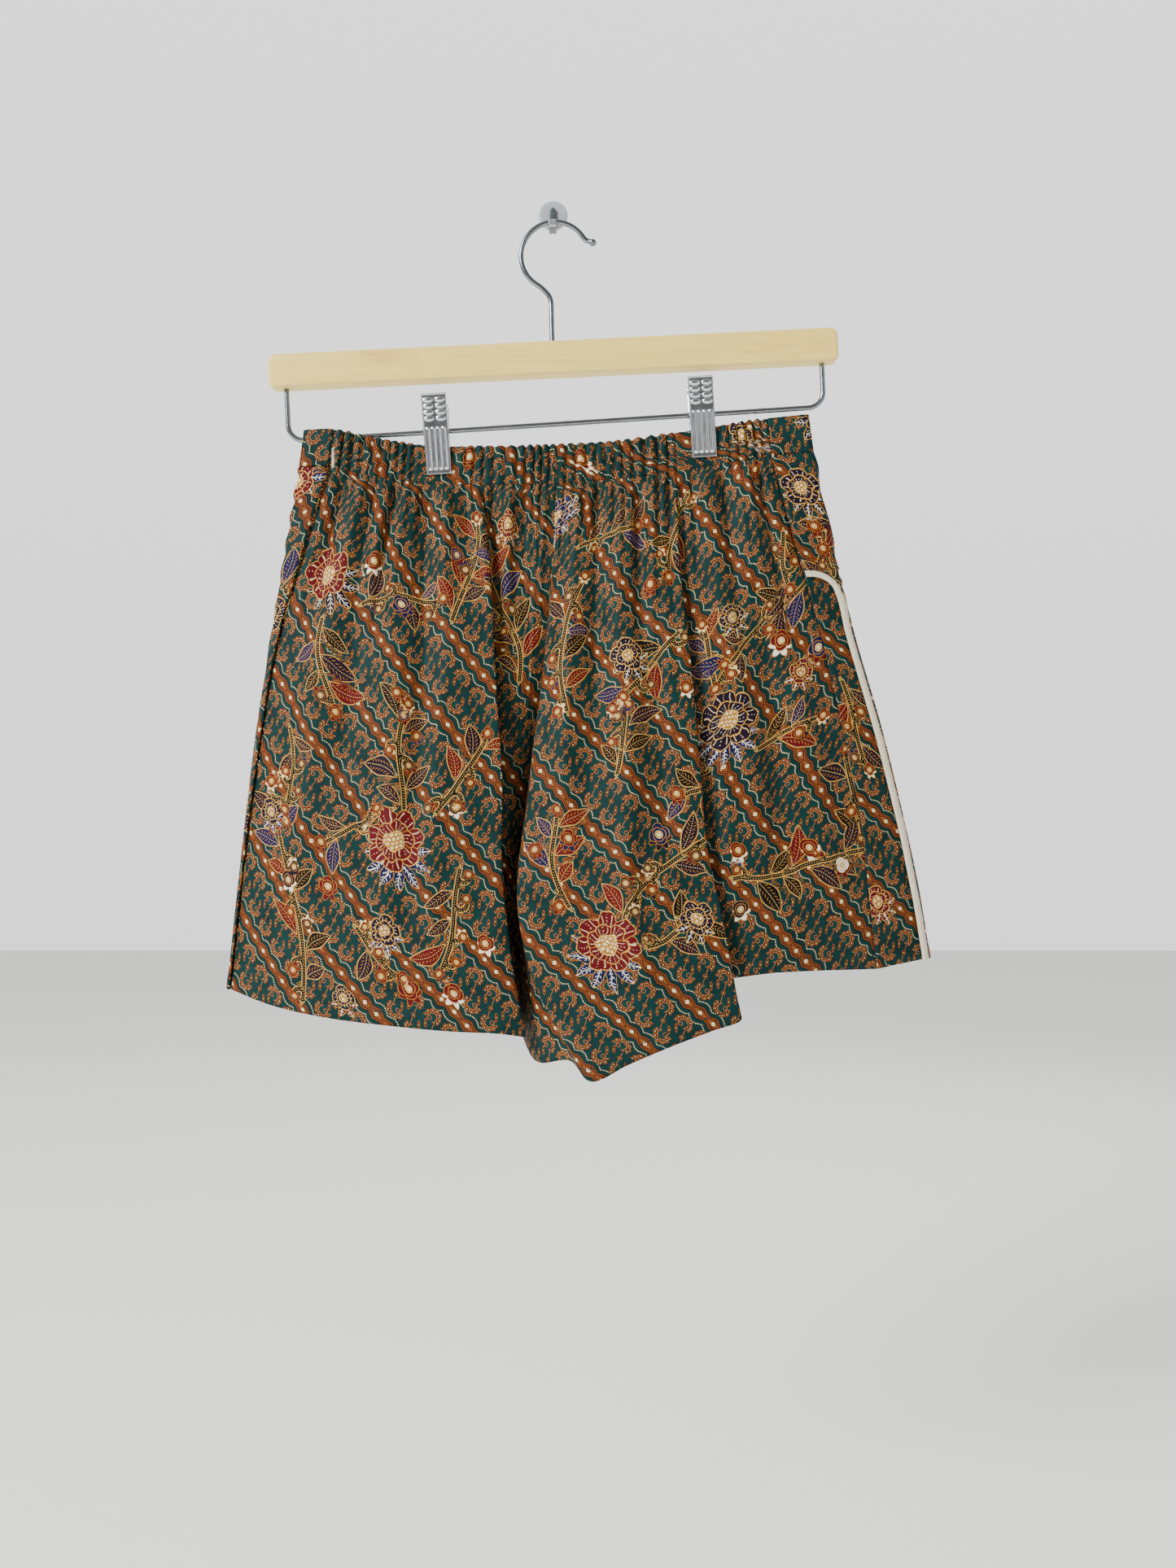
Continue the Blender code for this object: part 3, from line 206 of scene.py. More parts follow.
def panelRows(stations, rowLevels):
    counts = [row[0] * cloth["density"] for row in stations[:-1]]
    rows = np.array([rowThrough(stationsAt(stations, level), counts) for level in (0.0, *rowLevels)])
    waist = curveThrough(waistX, np.array(waistZ)[:, None], rows[0, :, 0] / mm)[:, 0] * mm
    seam, rows = waist - cloth["bandHeight"] - cloth["seamGap"], rows[1:]
    rows[..., 2] = seam + (rows[..., 2] - seam) * np.array(rowLevels)[:, None]
    return rows


def outNormals(rows, side):     # level normals, on the cloth's outer side
    along = np.gradient(rows[..., :2], axis=-2)
    along /= np.maximum(np.linalg.norm(along, axis=-1, keepdims=True), 1e-9)
    return np.stack([side * along[..., 1], -side * along[..., 0], np.zeros(along.shape[:-1])], -1)


def lengths(rows, axis):        # how far each point lies along the cloth, down or across
    steps = np.cumsum(np.linalg.norm(np.diff(rows, axis=axis), axis=2), axis=axis)
    return np.pad(steps, ((1, 0), (0, 0)) if axis == 0 else ((0, 0), (1, 0)))


def edgeTaper(rows, reach):
    along = lengths(rows, 1)
    return np.clip(np.minimum(along, along[:, -1:] - along) / reach, 0, 1)


# The waistbands
band = {
    "frontThickness": 1.6 * mm,
    "pitch": 6.1 * mm,          # of the elastic's gathers
    "height": 0.95 * mm,
    "lift": 0.8 * mm,
    "tack": (-140.6, -161.5),   # the bar-tack that holds the elastic's end, as the camera sees it, in mm
    "pinch": 17 * mm,           # how far a clip flattens the ruffle
    "taperAtTop": 0.02,
    "sag": 2.0 * mm,            # the elastic's top stands out this far at its middle
    "sagAt": 8 * mm, "sagReach": 38 * mm,
    "bow": 0.45 * mm,           # how far the casing bulges between its seams
}
clipX = {"left": -74.0 * mm, "right": 95.3 * mm}


def ruffleAt(x):    # height of the elastic's ruffle at places along the waist, flat where the clips pinch it
    pinch = np.max([np.exp(-((x - clip) / band["pinch"]) ** 6) for clip in clipX.values()], axis=0)
    phase = 2 * math.pi * x / band["pitch"] + 2.0 * np.sin(x / 17e-3) + 1.2 * np.sin(x / 7.3e-3 + 1)
    strength = band["height"] * (0.75 + 0.25 * np.sin(x / 11e-3 + 2)) * (1 - pinch)
    fine = np.sin(2 * math.pi * x / (2.3 * mm) + 3 * np.sin(x / 9e-3))
    return (np.sin(phase) + 0.25 * fine) * strength


def gatherHeights(rows, rowLevels, seed, count):
    # The main folds, the elastic's ruffle running on below the band, and between them many small uneven gathers
    start = rows[0, :, 0] / mm
    down = rowLevels[:, None]
    heights = np.zeros(rows.shape[:2])
    for at, width, height, reach in mainFolds:
        fade = np.minimum(1.0, down / 0.035) * np.exp(-(down / reach) ** 2)
        heights += fade * np.exp(-((start - at) / (width * (1 + 1.2 * down))) ** 2) * height * cloth["foldGain"]
    ruffle = ruffleAt(start * mm + 5 * mm * down * np.sin(start / 9.0))
    runs = 0.10 + 0.10 * np.sin(start / 11 + 2 * np.sin(start / 29)) ** 2
    heights += ruffle / mm * (0.9 * np.exp(-down / runs) + 0.35 * np.exp(-down / 0.35))
    draw = np.random.default_rng(seed)
    for at in np.linspace(start.min() + 4, start.max() - 4, count) + draw.uniform(-1.1, 1.1, count):
        width, height = draw.uniform(1.7, 3.4), draw.uniform(0.7, 1.9) * draw.choice((1, 1, -1))
        reach, wander = draw.uniform(0.07, 0.30), draw.uniform(-16, 16)
        across = np.exp(-((start - at - wander * down) / (width * (1 + 2.2 * down))) ** 2)
        heights += np.minimum(1.0, down / 0.02) * np.exp(-(down / reach) ** 1.6) * across * height
    return heights * mm


def creaseHeights(rows, creases):
    # Soft troughs and ridges along slanted lines, each fading in and out at its ends
    where = seen(rows)
    heights = np.zeros(rows.shape[:2])
    for x0, z0, x1, z1, width, height in creases:
        along = np.array((x1 - x0, z1 - z0), float)
        length = np.linalg.norm(along)
        along /= length
        rel = where - np.array((x0, z0))
        share = rel @ along / length
        across = rel @ np.array((-along[1], along[0])) - 5.0 * np.sin(share * 3.0 + x0)
        ends = np.clip(share / 0.25, 0, 1) * np.clip((1 - share) / 0.3, 0, 1)
        heights += np.sin(ends * math.pi / 2) ** 2 * np.exp(-(across / width) ** 2) * height
    x, z = where[..., 0], where[..., 1]
    soft = (np.sin(x / 17 + 2 * np.sin(z / 61)) + 0.6 * np.sin(x / 9.3 + z / 37 + 1.5 * np.sin(x / 31))
            + 0.4 * np.sin(z / 23 - x / 19))
    return (heights + 0.28 * np.clip((-z - 190) / 80, 0, 1) * soft) * mm


def shellFaces(high, wide):
    # Two skins of high by wide points, the second one numbered after the first, and the rim between them
    size = high * wide
    a = (np.arange(high - 1)[:, None] * wide + np.arange(wide - 1)).ravel()
    quads = np.stack([a, a + 1, a + wide + 1, a + wide], axis=1)
    rim = np.concatenate([np.arange(wide), np.arange(1, high) * wide + wide - 1,
                          (high - 1) * wide + np.arange(wide - 2, -1, -1), np.arange(high - 2, 0, -1) * wide])
    after = np.roll(rim, -1)
    return np.concatenate([quads, quads[:, ::-1] + size, np.stack([rim, rim + size, after + size, after], axis=1)])


def newMesh(name, points, faces):
    mesh = bpy.data.meshes.new(name)
    mesh.from_pydata(np.asarray(points).tolist(), [], faces)
    mesh.shade_smooth()
    return mesh


def shellMesh(name, rows, normals, thickness, layers):
    # A thin closed shell round the rows, with what each point needs to know for its print
    high, wide = rows.shape[:2]
    outer, inner = ((rows + side * normals * thickness / 2).reshape(-1, 3) for side in (1, -1))
    middle = (high // 2) * wide + wide // 2
    face = np.cross(outer[middle + 1] - outer[middle], outer[middle + wide] - outer[middle])
    faces = shellFaces(high, wide)[:, ::-1 if face @ normals.reshape(-1, 3)[middle] < 0 else 1]
    mesh = newMesh(name, np.concatenate([outer, inner]), faces.tolist())
    for key, values in layers.items():
        values = np.concatenate([values.reshape(high * wide, -1)] * 2).astype(np.float32)
        if key == "clothUV":
            corner = np.zeros(len(mesh.loops), np.int32)
            mesh.loops.foreach_get("vertex_index", corner)
            mesh.uv_layers.new(name=key).data.foreach_set("uv", values[corner].ravel())
        else:
            mesh.attributes.new(key, "FLOAT_VECTOR", "POINT").data.foreach_set("vector", values.ravel())
    return mesh


def joinedMesh(name, parts):
    # One mesh from several (points, faces) pairs; a face may repeat its last corner
    points, faces, base = [], [], 0
    for corners, sides in parts:
        points.append(np.asarray(corners, float).reshape(-1, 3))
        faces += [tuple(dict.fromkeys(int(k) + base for k in face)) for face in sides]
        base += len(points[-1])
    return newMesh(name, np.concatenate(points), faces)


def addPiece(name, mesh, material, node):
    piece = bpy.data.objects.new(name, mesh)
    bpy.context.scene.collection.objects.link(piece)
    mesh.materials.append(material)
    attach(piece, "root")
    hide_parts(node)
    return piece


def clothMap(rows, refColumn, gather=0.0, side=1):
    # Where each point lies in the flat cloth as its outside is seen, in mm: across from a reference column, and down
    along, down = lengths(rows, 1), lengths(rows, 0)
    across = along - along[:, refColumn:refColumn + 1]
    return np.stack([side * across * (1 + gather * np.exp(-down / (45 * mm))), down], axis=-1) / mm


def drawnSeams(rows, normals, sewn):
    # Draws the sewn edges in a little, so that each seam shows as a groove
    along = lengths(rows, 1)
    depth = sum(use * np.exp(-(distance / cloth["seamReach"]) ** 2)
                for use, distance in zip(sewn, (along, along[:, -1:] - along)))
    return rows - normals * cloth["seamGroove"] * depth[..., None]


def aboveHem(rows):
    return lengths(rows[::-1], 0)[::-1]


def frontLegs(rowLevels):
    # The two front legs lie under the skirt front and dip toward the back where they part
    rows = panelRows(frontRound, rowLevels)
    middle = sum(row[0] for row in frontRound[:frontRound.index(frontMid)]) * cloth["density"]
    share = np.clip((rowLevels[:, None] - 0.35) / (crotch - 0.35), 0.0, 1.0)
    away = np.abs(rows[..., 0] - rows[:, middle, 0][:, None]) / cloth["dipReach"]
    rows[..., 1] -= cloth["dip"] * share * share * (3 - 2 * share) * np.clip(1 - away, 0, 1) ** 2
    return rows[:, :middle + 1].copy(), rows[:, middle:].copy()


def meet(one, oneColumn, two, twoColumn, weights):
    # Moves two panels' edges to one line, and their next columns with them
    apart = weights[:, None] * (two[:, twoColumn] - one[:, oneColumn])
    for rows, column, share in ((one, oneColumn, 0.5), (two, twoColumn, -0.5)):
        away = np.abs(np.arange(rows.shape[1]) - column % rows.shape[1])
        rows += share * apart[:, None, :] * np.exp(-(away / 8.0) ** 2)[None, :, None]


def mitre(one, oneColumn, two, twoColumn, rows):
    # Turns both panels' edges the same way, so that no slit stays open between them
    shared = one[rows, oneColumn] + two[rows, twoColumn]
    shared /= np.linalg.norm(shared, axis=1, keepdims=True)
    one[rows, oneColumn] = two[rows, twoColumn] = shared


# The legs: rows close together in the gathers near the waist, then even
belowGathers = np.linspace(0.12, 1.0, int(cloth["length"] * 0.88 / cloth["rowStep"]) + 1)[1:]
rowLevels = np.concatenate([np.linspace(0, 0.12, 34), belowGathers])
legs = dict(zip(("backLeft", "backRight", "frontLeft", "frontRight"),
                (panelRows(backLeft, rowLevels), panelRows(backRight, rowLevels), *frontLegs(rowLevels))))
gathers = {"backLeft": (3, 58), "backRight": (8, 56)}       # seed and number of the small gathers
for name, rows in legs.items():
    heights, side, reach = creaseHeights(rows, frontCreases), -1, cloth["frontTaper"]
    if name in gathers:
        heights = gatherHeights(rows, rowLevels, *gathers[name]) + creaseHeights(rows, backCreases)
        side, reach = 1, cloth["backTaper"]
    rows += outNormals(rows, side) * (edgeTaper(rows, reach) * heights)[..., None]
belowCrotch = np.clip((rowLevels - crotch + 0.06) / 0.06, 0, 1)
aboveCrotch = np.clip(1 - (rowLevels - crotch) / 0.015, 0, 1)
allTheWay = np.ones(len(rowLevels))
seams = (("backLeft", 0, "frontLeft", 0, allTheWay), ("backRight", -1, "frontRight", -1, allTheWay),
         ("backLeft", -1, "frontLeft", -1, belowCrotch), ("backRight", 0, "frontRight", 0, belowCrotch),
         ("backLeft", -1, "backRight", 0, aboveCrotch), ("frontLeft", -1, "frontRight", 0, aboveCrotch))
for one, oneColumn, two, twoColumn, weights in seams:
    meet(legs[one], oneColumn, legs[two], twoColumn, weights)

# The skirt front over both front legs, and the pale binding of its free edge
skirt = {
    "edgeLevel": 0.232,         # sewn into the right side seam as far as this
    "edgeBack": 3.8 * mm,       # how far behind the side's fold its edge lies
    "edgeTurn": 15.0 * mm,
    "length": 327.0 * mm,
    "columns": 190,
    "rows": 150,
    "seamInset": 0.3 * mm,
}
binding = {"width": 3.8 * mm, "thickness": 1.3 * mm, "lift": 2.3 * mm, "bulge": 0.5 * mm, "overlap": 0.6 * mm,
           "rows": 230, "columns": 9}
knownRows = {}


def frontRow(level):
    key = round(float(level), 4)
    if key not in knownRows:
        points = panelRows(frontRound, (key,))
        knownRows[key] = (points[0], lengths(points, 1)[0])
    return knownRows[key]


def sideReach(level):
    along = frontRow(level)[1]
    return along[-1] - along[-1 - sideRight[0] * cloth["density"]]


def sampleRow(level, distances):        # points the stated distances before the right seam
    points, along = frontRow(level)
    at = along[-1] - np.asarray(distances, float)
    return np.stack([np.interp(at, along, points[:, k]) for k in range(3)], axis=-1)


def edgeRoute(inset):
    # The free edge as (level, distance before the right seam), moved by inset on to the skirt
    route = []
    for angle in np.radians((0, 24, 46, 68, 90)):
        level = skirt["edgeLevel"] + skirt["edgeTurn"] / skirt["length"] * (1 - math.cos(angle))
        reach = sideReach(level) - skirt["edgeBack"]
        across, down = reach * math.cos(angle), skirt["edgeTurn"] * math.sin(angle)
        size = math.hypot(across, down)
        route.append((level - inset * across / size / skirt["length"],
                      max(reach * math.sin(angle) + inset * down / size, skirt["seamInset"])))
    return route + [(level, sideReach(level) - skirt["edgeBack"] + inset)
                    for level in (0.35, 0.45, 0.56, 0.68, 0.79, 0.90, 1.0)]


def skirtRows():
    inset = binding["width"] / 2 - binding["overlap"]
    stops = [(level, skirt["seamInset"]) for level in (0.0, 0.07, 0.15)] + edgeRoute(inset)
    rows = []
    for level, distance in evenly(stops, skirt["rows"], (skirt["length"], 1.0)):
        length = frontRow(level)[1][-1]
        rows.append(sampleRow(level, np.linspace(length - skirt["seamInset"], max(distance, 0.0), skirt["columns"])))
    rows = np.array(rows)
    lift = cloth["overlayLift"] + edgeTaper(rows, cloth["frontTaper"]) * creaseHeights(rows, frontCreases)
    return rows + outNormals(rows, -1) * lift[..., None]


def bindingRows():
    reach = binding["width"] / 2
    rows, normals = np.zeros((2, binding["rows"], binding["columns"], 3))
    for i, offset in enumerate(np.linspace(-1, 1, binding["columns"])):
        route = evenly(edgeRoute(offset * reach), binding["rows"], (skirt["length"], 1.0))
        for j, (level, distance) in enumerate(route):
            three = sampleRow(level, (distance + reach, distance, max(distance - reach, 0.0)))
            normals[j, i] = outNormals(three, -1)[1]
            rows[j, i] = three[1] + normals[j, i] * (binding["lift"] + binding["bulge"] * (1 - offset ** 2))
    return rows, normals


def elasticBand():
    # The casing stands on the legs' top edge, and its ruffle grows from theirs
    top = np.concatenate([legs["backLeft"][0], legs["backRight"][0]])
    xs = np.linspace(top[0, 0], top[-1, 0], 420)
    shares = np.linspace(1, 0, 24)[:, None]
    wave = ruffleAt(xs) * np.clip(np.minimum(xs - xs[0], xs[-1] - xs) / (6 * mm), 0, 1)
    grown = np.clip(shares / 0.6, 0, 1)
    grown = grown * grown * (3 - 2 * grown)
    sag = band["sag"] * np.exp(-((xs - band["sagAt"]) / band["sagReach"]) ** 2) * shares
    bow = band["bow"] * np.sin(math.pi * shares)
    rows = np.zeros((len(shares), len(xs), 3))
    rows[..., 0] = xs * (1 - band["taperAtTop"] * shares)
    rows[..., 1] = np.interp(xs, top[:, 0], top[:, 1]) - wave * 0.6 * grown - bow - sag
    rows[..., 2] = np.interp(xs, top[:, 0], top[:, 2]) + cloth["bandHeight"] * shares + 0.7 * wave * shares
    return rows, (0.7 + 0.7 * grown) * mm * np.ones_like(xs)


def flatBand():
    ends = 0.15 * mm
    base = sampleRow(0.0, np.linspace(frontRow(0.0)[1][-1] - ends, ends, 230))
    base = base + outNormals(base, -1) * band["lift"]
    shares = np.linspace(1, 0, 14)[:, None]
    rows = np.repeat(base[None], len(shares), axis=0)
    rows[..., 0] *= 1 - band["taperAtTop"] * shares
    rows[..., 2] += cloth["seamGap"] + cloth["bandHeight"] * shares
    return rows


# The hanger, its clips, and the hook on the wall
hanger = {
    "barLength": 363 * mm, "barHeight": 21 * mm, "barDepth": 14 * mm, "barTop": -86 * mm,
    "tilt": math.radians(2.75),
    "corner": 5 * mm,           # of the bar's outline at the top; below it is tighter
    "lowCorner": 3.5 * mm,
    "edge": 1.8 * mm,           # how far the bar's long edges are rounded over
    "hookWire": 1.7 * mm, "hookCentre": (1.6 * mm, -30 * mm), "hookRadius": 21.7 * mm, "ball": 2.4 * mm,
    "railWire": 1.7 * mm, "railHalf": 171.4 * mm, "dropLeft": 54.4 * mm, "dropRight": 49 * mm, "bend": 10 * mm,
}
clip = {
    "width": 16.3 * mm, "above": 23.5 * mm, "below": 27.5 * mm,     # above and below the rail
    "sheet": 0.8 * mm,
    "stand": 5.76 * mm,         # from the rail's middle to a jaw's
    "outerLean": math.radians(6.45), "innerLean": math.radians(6.05),
    "relief": 0.8 * mm, "rim": 0.35 * mm,       # how far the ovals and ribs, and the rim, are pressed out
    "ovalTop": 19.4 * mm, "ovalPitch": 3.9 * mm, "ovalColumn": 3.75 * mm, "ovalWide": 3.15 * mm, "ovalHigh": 1.7 * mm,
    "ribTop": 2.6 * mm, "ribLow": -24.6 * mm, "ribReach": 6.8 * mm, "ribPitch": 3.4 * mm, "ribFade": 1.4 * mm,
    "outerEar": 6.9 * mm, "innerEar": 5.7 * mm, "earHalf": 4.6 * mm, "earBack": 2.9 * mm, "earRound": 3.0 * mm,
    "springWire": 0.45 * mm, "springTurns": 7, "springHalf": 4.9 * mm, "springRadius": 2.45 * mm,
}
wall = {"discRadius": 9.5 * mm, "discDepth": 3 * mm, "discEdge": 1.4 * mm,
        "stripHalf": 2.1 * mm, "stripLow": -10.6 * mm, "shelfHalf": 2.4 * mm, "shelf": 2 * mm}
hangerAt = Matrix.Translation((0, 0, hanger["barTop"])) @ Matrix.Rotation(-hanger["tilt"], 4, "Y")


def inHanger(x, z):
    return hangerAt @ Vector((x, view["hangY"], z))


def placed(frameAt, points):
    turn = np.array(frameAt)
    return np.asarray(points, float).reshape(-1, 3) @ turn[:3, :3].T + turn[:3, 3]


def arc(x, y, radius, start, end, count):       # points on part of a circle, between angles in degrees
    return [(x + radius * math.cos(a), y + radius * math.sin(a)) for a in np.radians(np.linspace(start, end, count))]


def ringFaces(rings, sides):        # walls between rings of points, and a cap at each end
    faces = [(ring * sides + k, ring * sides + (k + 1) % sides, (ring + 1) * sides + (k + 1) % sides,
              (ring + 1) * sides + k) for ring in range(rings - 1) for k in range(sides)]
    return faces + [tuple(range(sides))[::-1], tuple(range((rings - 1) * sides, rings * sides))]


def drawnOut(profile, xs):          # a side profile drawn out across
    return [(x, y, z) for x in xs for y, z in profile], ringFaces(len(xs), len(profile))


def tube(route, radii, sides=20):
    # A round wire along a route, its sides carried along without twist
    route = np.array([tuple(p) for p in route])
    along = np.gradient(route, axis=0)
    along /= np.linalg.norm(along, axis=1, keepdims=True)
    angles = 2 * math.pi * np.arange(sides)[:, None] / sides
    side = np.cross(along[0], (0, 1, 0) if abs(along[0][1]) < 0.9 else (1, 0, 0))
    rings = []
    for centre, ahead, radius in zip(route, along, np.broadcast_to(radii, len(route))):
        side = side - ahead * np.dot(side, ahead)
        side /= np.linalg.norm(side)
        rings.append(centre + radius * (np.cos(angles) * side + np.sin(angles) * np.cross(ahead, side)))
    return np.concatenate(rings), ringFaces(len(route), sides)


def woodenBar():
    # The bar's outline in rings from back to front, its long edges rounded over
    half, high, edge, depth = hanger["barLength"] / 2, hanger["barHeight"], hanger["edge"], hanger["barDepth"] / 2
    top, low = hanger["corner"], hanger["lowCorner"]
    rings = arc(edge - depth, edge, edge, 180, 270, 7)
    rings += [(y, 0.0) for y in np.linspace(edge - depth, depth - edge, 6)[1:-1]]
    rings += arc(depth - edge, edge, edge, 270, 360, 7)
    points, count = [], 0
    for y, inset in rings:
        ring = []
        for x, z, radius, start in ((half - top, -top, top, 0), (half - low, low - high, low, 270),
                                    (low - half, low - high, low, 180), (top - half, -top, top, 90)):
            ring += [(at, view["hangY"] + y, up) for at, up in arc(x, z, radius - inset, start + 90, start, 9)]
        fine = []       # long stretches in short pieces
        for here, ahead in zip(np.array(ring), np.roll(ring, -1, axis=0)):
            pieces = max(1, int(np.linalg.norm(ahead - here) / (4 * mm)))
            fine += [here + (ahead - here) * s / pieces for s in range(pieces)]
        count = count or len(fine)
        points.append(np.array(fine)[np.linspace(0, len(fine) - 1, count).round().astype(int)])
    return placed(hangerAt, np.concatenate(points)), ringFaces(len(rings), count)


def hangerHook():
    # Wire up out of the bar, round in a bow, and a ball at its end
    y, ball = view["hangY"], hanger["ball"]
    foot = [inHanger(0.0, z * mm) for z in (-9, -4, 0, 6)]
    neck = [(x * mm, z * mm) for x, z in ((-0.7, -64), (-0.8, -60), (-1.9, -56.2), (-5.0, -52.4))]
    bow = arc(*hanger["hookCentre"], hanger["hookRadius"], 240, 33, 41) + [(21.6 * mm, -20.1 * mm)]
    route = evenly(foot + [(x, y, z) for x, z in neck + bow], 260)
    tip = np.array((25.7 * mm, y, -21.4 * mm))
    along = (tip - route[-1]) / np.linalg.norm(tip - route[-1])
    shares = -np.cos(np.radians(np.linspace(38, 178, 16)))
    radii = [hanger["hookWire"]] * len(route) + [ball * math.sqrt(1 - s * s) for s in shares]
    return tube([*route, *(tip + along * ball * s for s in shares)], radii, 24)


def hangerRail():
    half, bend, left, right = (hanger[key] for key in ("railHalf", "bend", "dropLeft", "dropRight"))
    socket = [z * mm for z in (-12, -21, -32)]
    route = [(-half, z) for z in socket] + arc(bend - half, bend - left, bend, 180, 270, 14)
    route += [((half - bend) * (2 * s - 1), (left - right) * s - left) for s in (0.2, 0.4, 0.6, 0.8)]
    route += arc(half - bend, bend - right, bend, 270, 360, 14) + [(half, z) for z in socket[::-1]]
    return tube([inHanger(x, z) for x, z in route], hanger["railWire"])


def railFrame(x):
    # A clip's own axes: its origin on the rail's middle, X along the rail
    reach = hanger["railHalf"] - hanger["bend"]
    left, right = inHanger(-reach, -hanger["dropLeft"]), inHanger(reach, -hanger["dropRight"])
    along = (right - left).normalized()
    at = left + along * ((x - left.x) / along.x)
    return Matrix.Translation(at) @ Matrix.Rotation(-math.atan2(along.z, along.x), 4, "Y")


def outerJaw():
    # Sheet metal pressed with two columns of four ovals above four upright ribs, inside a raised rim
    half, above, below, relief = clip["width"] / 2, clip["above"], clip["below"], clip["relief"]
    fade, reach = clip["ribFade"], clip["ribReach"]
    x, z = np.meshgrid(np.linspace(-half, half, 83), np.linspace(above, -below, 251))
    rise = np.zeros_like(x)
    for row in range(4):
        for column in (-1, 1):
            across = (x - column * clip["ovalColumn"]) / clip["ovalWide"]
            down = (z - clip["ovalTop"] + row * clip["ovalPitch"]) / clip["ovalHigh"]
            rise = np.maximum(rise, np.sqrt(np.clip(1 - across**2 - down**2, 0, 1)) * relief)
    ends = np.clip((clip["ribTop"] - z) / fade, 0, 1) * np.clip((z - clip["ribLow"]) / fade, 0, 1)
    ribs = (0.5 - 0.5 * np.cos(2 * math.pi * (x + reach) / clip["ribPitch"])) * (np.abs(x) < reach)
    rise = np.maximum(rise, ends * ribs * relief)
    edge = np.minimum.reduce([x + half, half - x, above - z, z + below])
    rise += clip["rim"] * np.exp(-((edge - 0.55 * mm) / (0.28 * mm)) ** 2)
    rise -= 0.6 * mm * np.clip(1 - edge / (0.45 * mm), 0, 1) ** 2       # the sheet's edge is rolled back
    front = np.stack([x, -clip["stand"] - clip["sheet"] / 2 - rise, z], -1)
    back = np.stack([x, np.full_like(x, clip["sheet"] / 2 - clip["stand"]), z], -1)
    return np.concatenate([front, back]), np.roll(shellFaces(*x.shape)[:, ::-1], 1, axis=1)


def ear(xIn, toward):
    # One ear of a jaw: a plate across the rail with a half-round far end
    near = toward * (clip["stand"] - 0.05 * mm)
    turns = np.radians(np.linspace(-90, 90, 15))
    profile = [(near, clip["earHalf"]), (near, -clip["earHalf"])]
    profile += [(-toward * clip["earBack"] * math.cos(a), clip["earRound"] * math.sin(a)) for a in turns]
    return drawnOut(profile, (xIn, xIn + clip["sheet"]))


def innerJaw():
    # A plain lever with a curled top end
    near, far = (clip["stand"] + side * clip["sheet"] / 2 for side in (-1, 1))
    half = clip["width"] / 2 - 0.4 * mm
    profile = [(near, -clip["below"]), (far, -clip["below"] + 0.3 * mm)]
    profile += [(far, z * mm) for z in np.linspace(-26, 17, 24)]
    profile += arc(far - 0.2 * mm, 18.6 * mm, 1.5 * mm, -60, 160, 20)
    profile += [(near, z * mm) for z in np.linspace(17.4, -26.5, 24)]
    return drawnOut(profile, np.linspace(-half, half, 15))


def springCoil():
    # Round wire in turns about the rail, with a leg to each jaw
    turns, half, radius = clip["springTurns"], clip["springHalf"], clip["springRadius"]
    leg = [(4.6 * mm, 7.4 * mm), (3.4 * mm, 3.6 * mm)]
    coil = [(half * (2 * t / turns - 1), radius * math.cos(2 * math.pi * t), radius * math.sin(2 * math.pi * t))
            for t in np.linspace(0, turns, turns * 22)]
    route = [(-half, y, z) for y, z in leg] + coil + [(half, y, z) for y, z in leg[::-1]]
    return tube(evenly(route, 420), clip["springWire"], 10)


def wallDisc():
    radius, depth, edge, sides = wall["discRadius"], wall["discDepth"], wall["discEdge"], 72
    profile = [(0.0, radius - 0.35 * mm), (-0.3 * mm, radius - 0.05 * mm), (-1.0 * mm, radius)]
    profile += arc(edge - depth, radius - edge, edge, 90, 180, 12)
    profile += [(0.02 * mm * s - depth, radius - edge - 2 * mm * s) for s in (1, 2, 3)]
    angles = 2 * math.pi * np.arange(sides) / sides
    return [(r * math.cos(a), y, r * math.sin(a)) for y, r in profile for a in angles], ringFaces(len(profile), sides)


def wallHook():
    # A pointed strip, and a shelf with a turned-up lip that carries the hanger's hook
    front, half, shelf = -wall["discDepth"] - 0.05 * mm, wall["stripHalf"], wall["shelfHalf"]
    right = [(0.7 * mm, 3.95 * mm), (half, 2.2 * mm), (half, wall["stripLow"])]
    outline = [(0.0, 4.4 * mm), *right, *((-x, z) for x, z in right[::-1])]
    rings = [(front, 0), (front - 1.2 * mm, 0), (front - 1.45 * mm, 0.12 * mm), (front - 1.55 * mm, 0.4 * mm)]
    strip = [(x - inset * np.sign(x), y, z - inset * (1 if z > 0 else -0.4)) for y, inset in rings for x, z in outline]
    x, z = hanger["hookCentre"]
    top = z + math.sqrt(hanger["hookRadius"] ** 2 - (x + shelf) ** 2) - hanger["hookWire"] - 0.1 * mm
    low, lip = top - wall["shelf"], view["hangY"] - hanger["hookWire"] - 0.9 * mm
    profile = [(front - 0.4 * mm, top), (lip, top), (lip - 0.2 * mm, top + 1.8 * mm)]
    profile += arc(lip - 0.9 * mm, top + 2 * mm, 0.7 * mm, 0, 180, 9)
    profile += [(lip - 1.7 * mm, low + 1.0 * mm), (lip - 1.4 * mm, low + 0.3 * mm), (lip - 0.8 * mm, low),
                (front - 0.4 * mm, low)]
    return [(strip, ringFaces(len(rings), len(outline))),
            drawnOut(profile, (-shelf, 0.25 * mm - shelf, shelf - 0.25 * mm, shelf))]


print("rows and hardware functions ready")

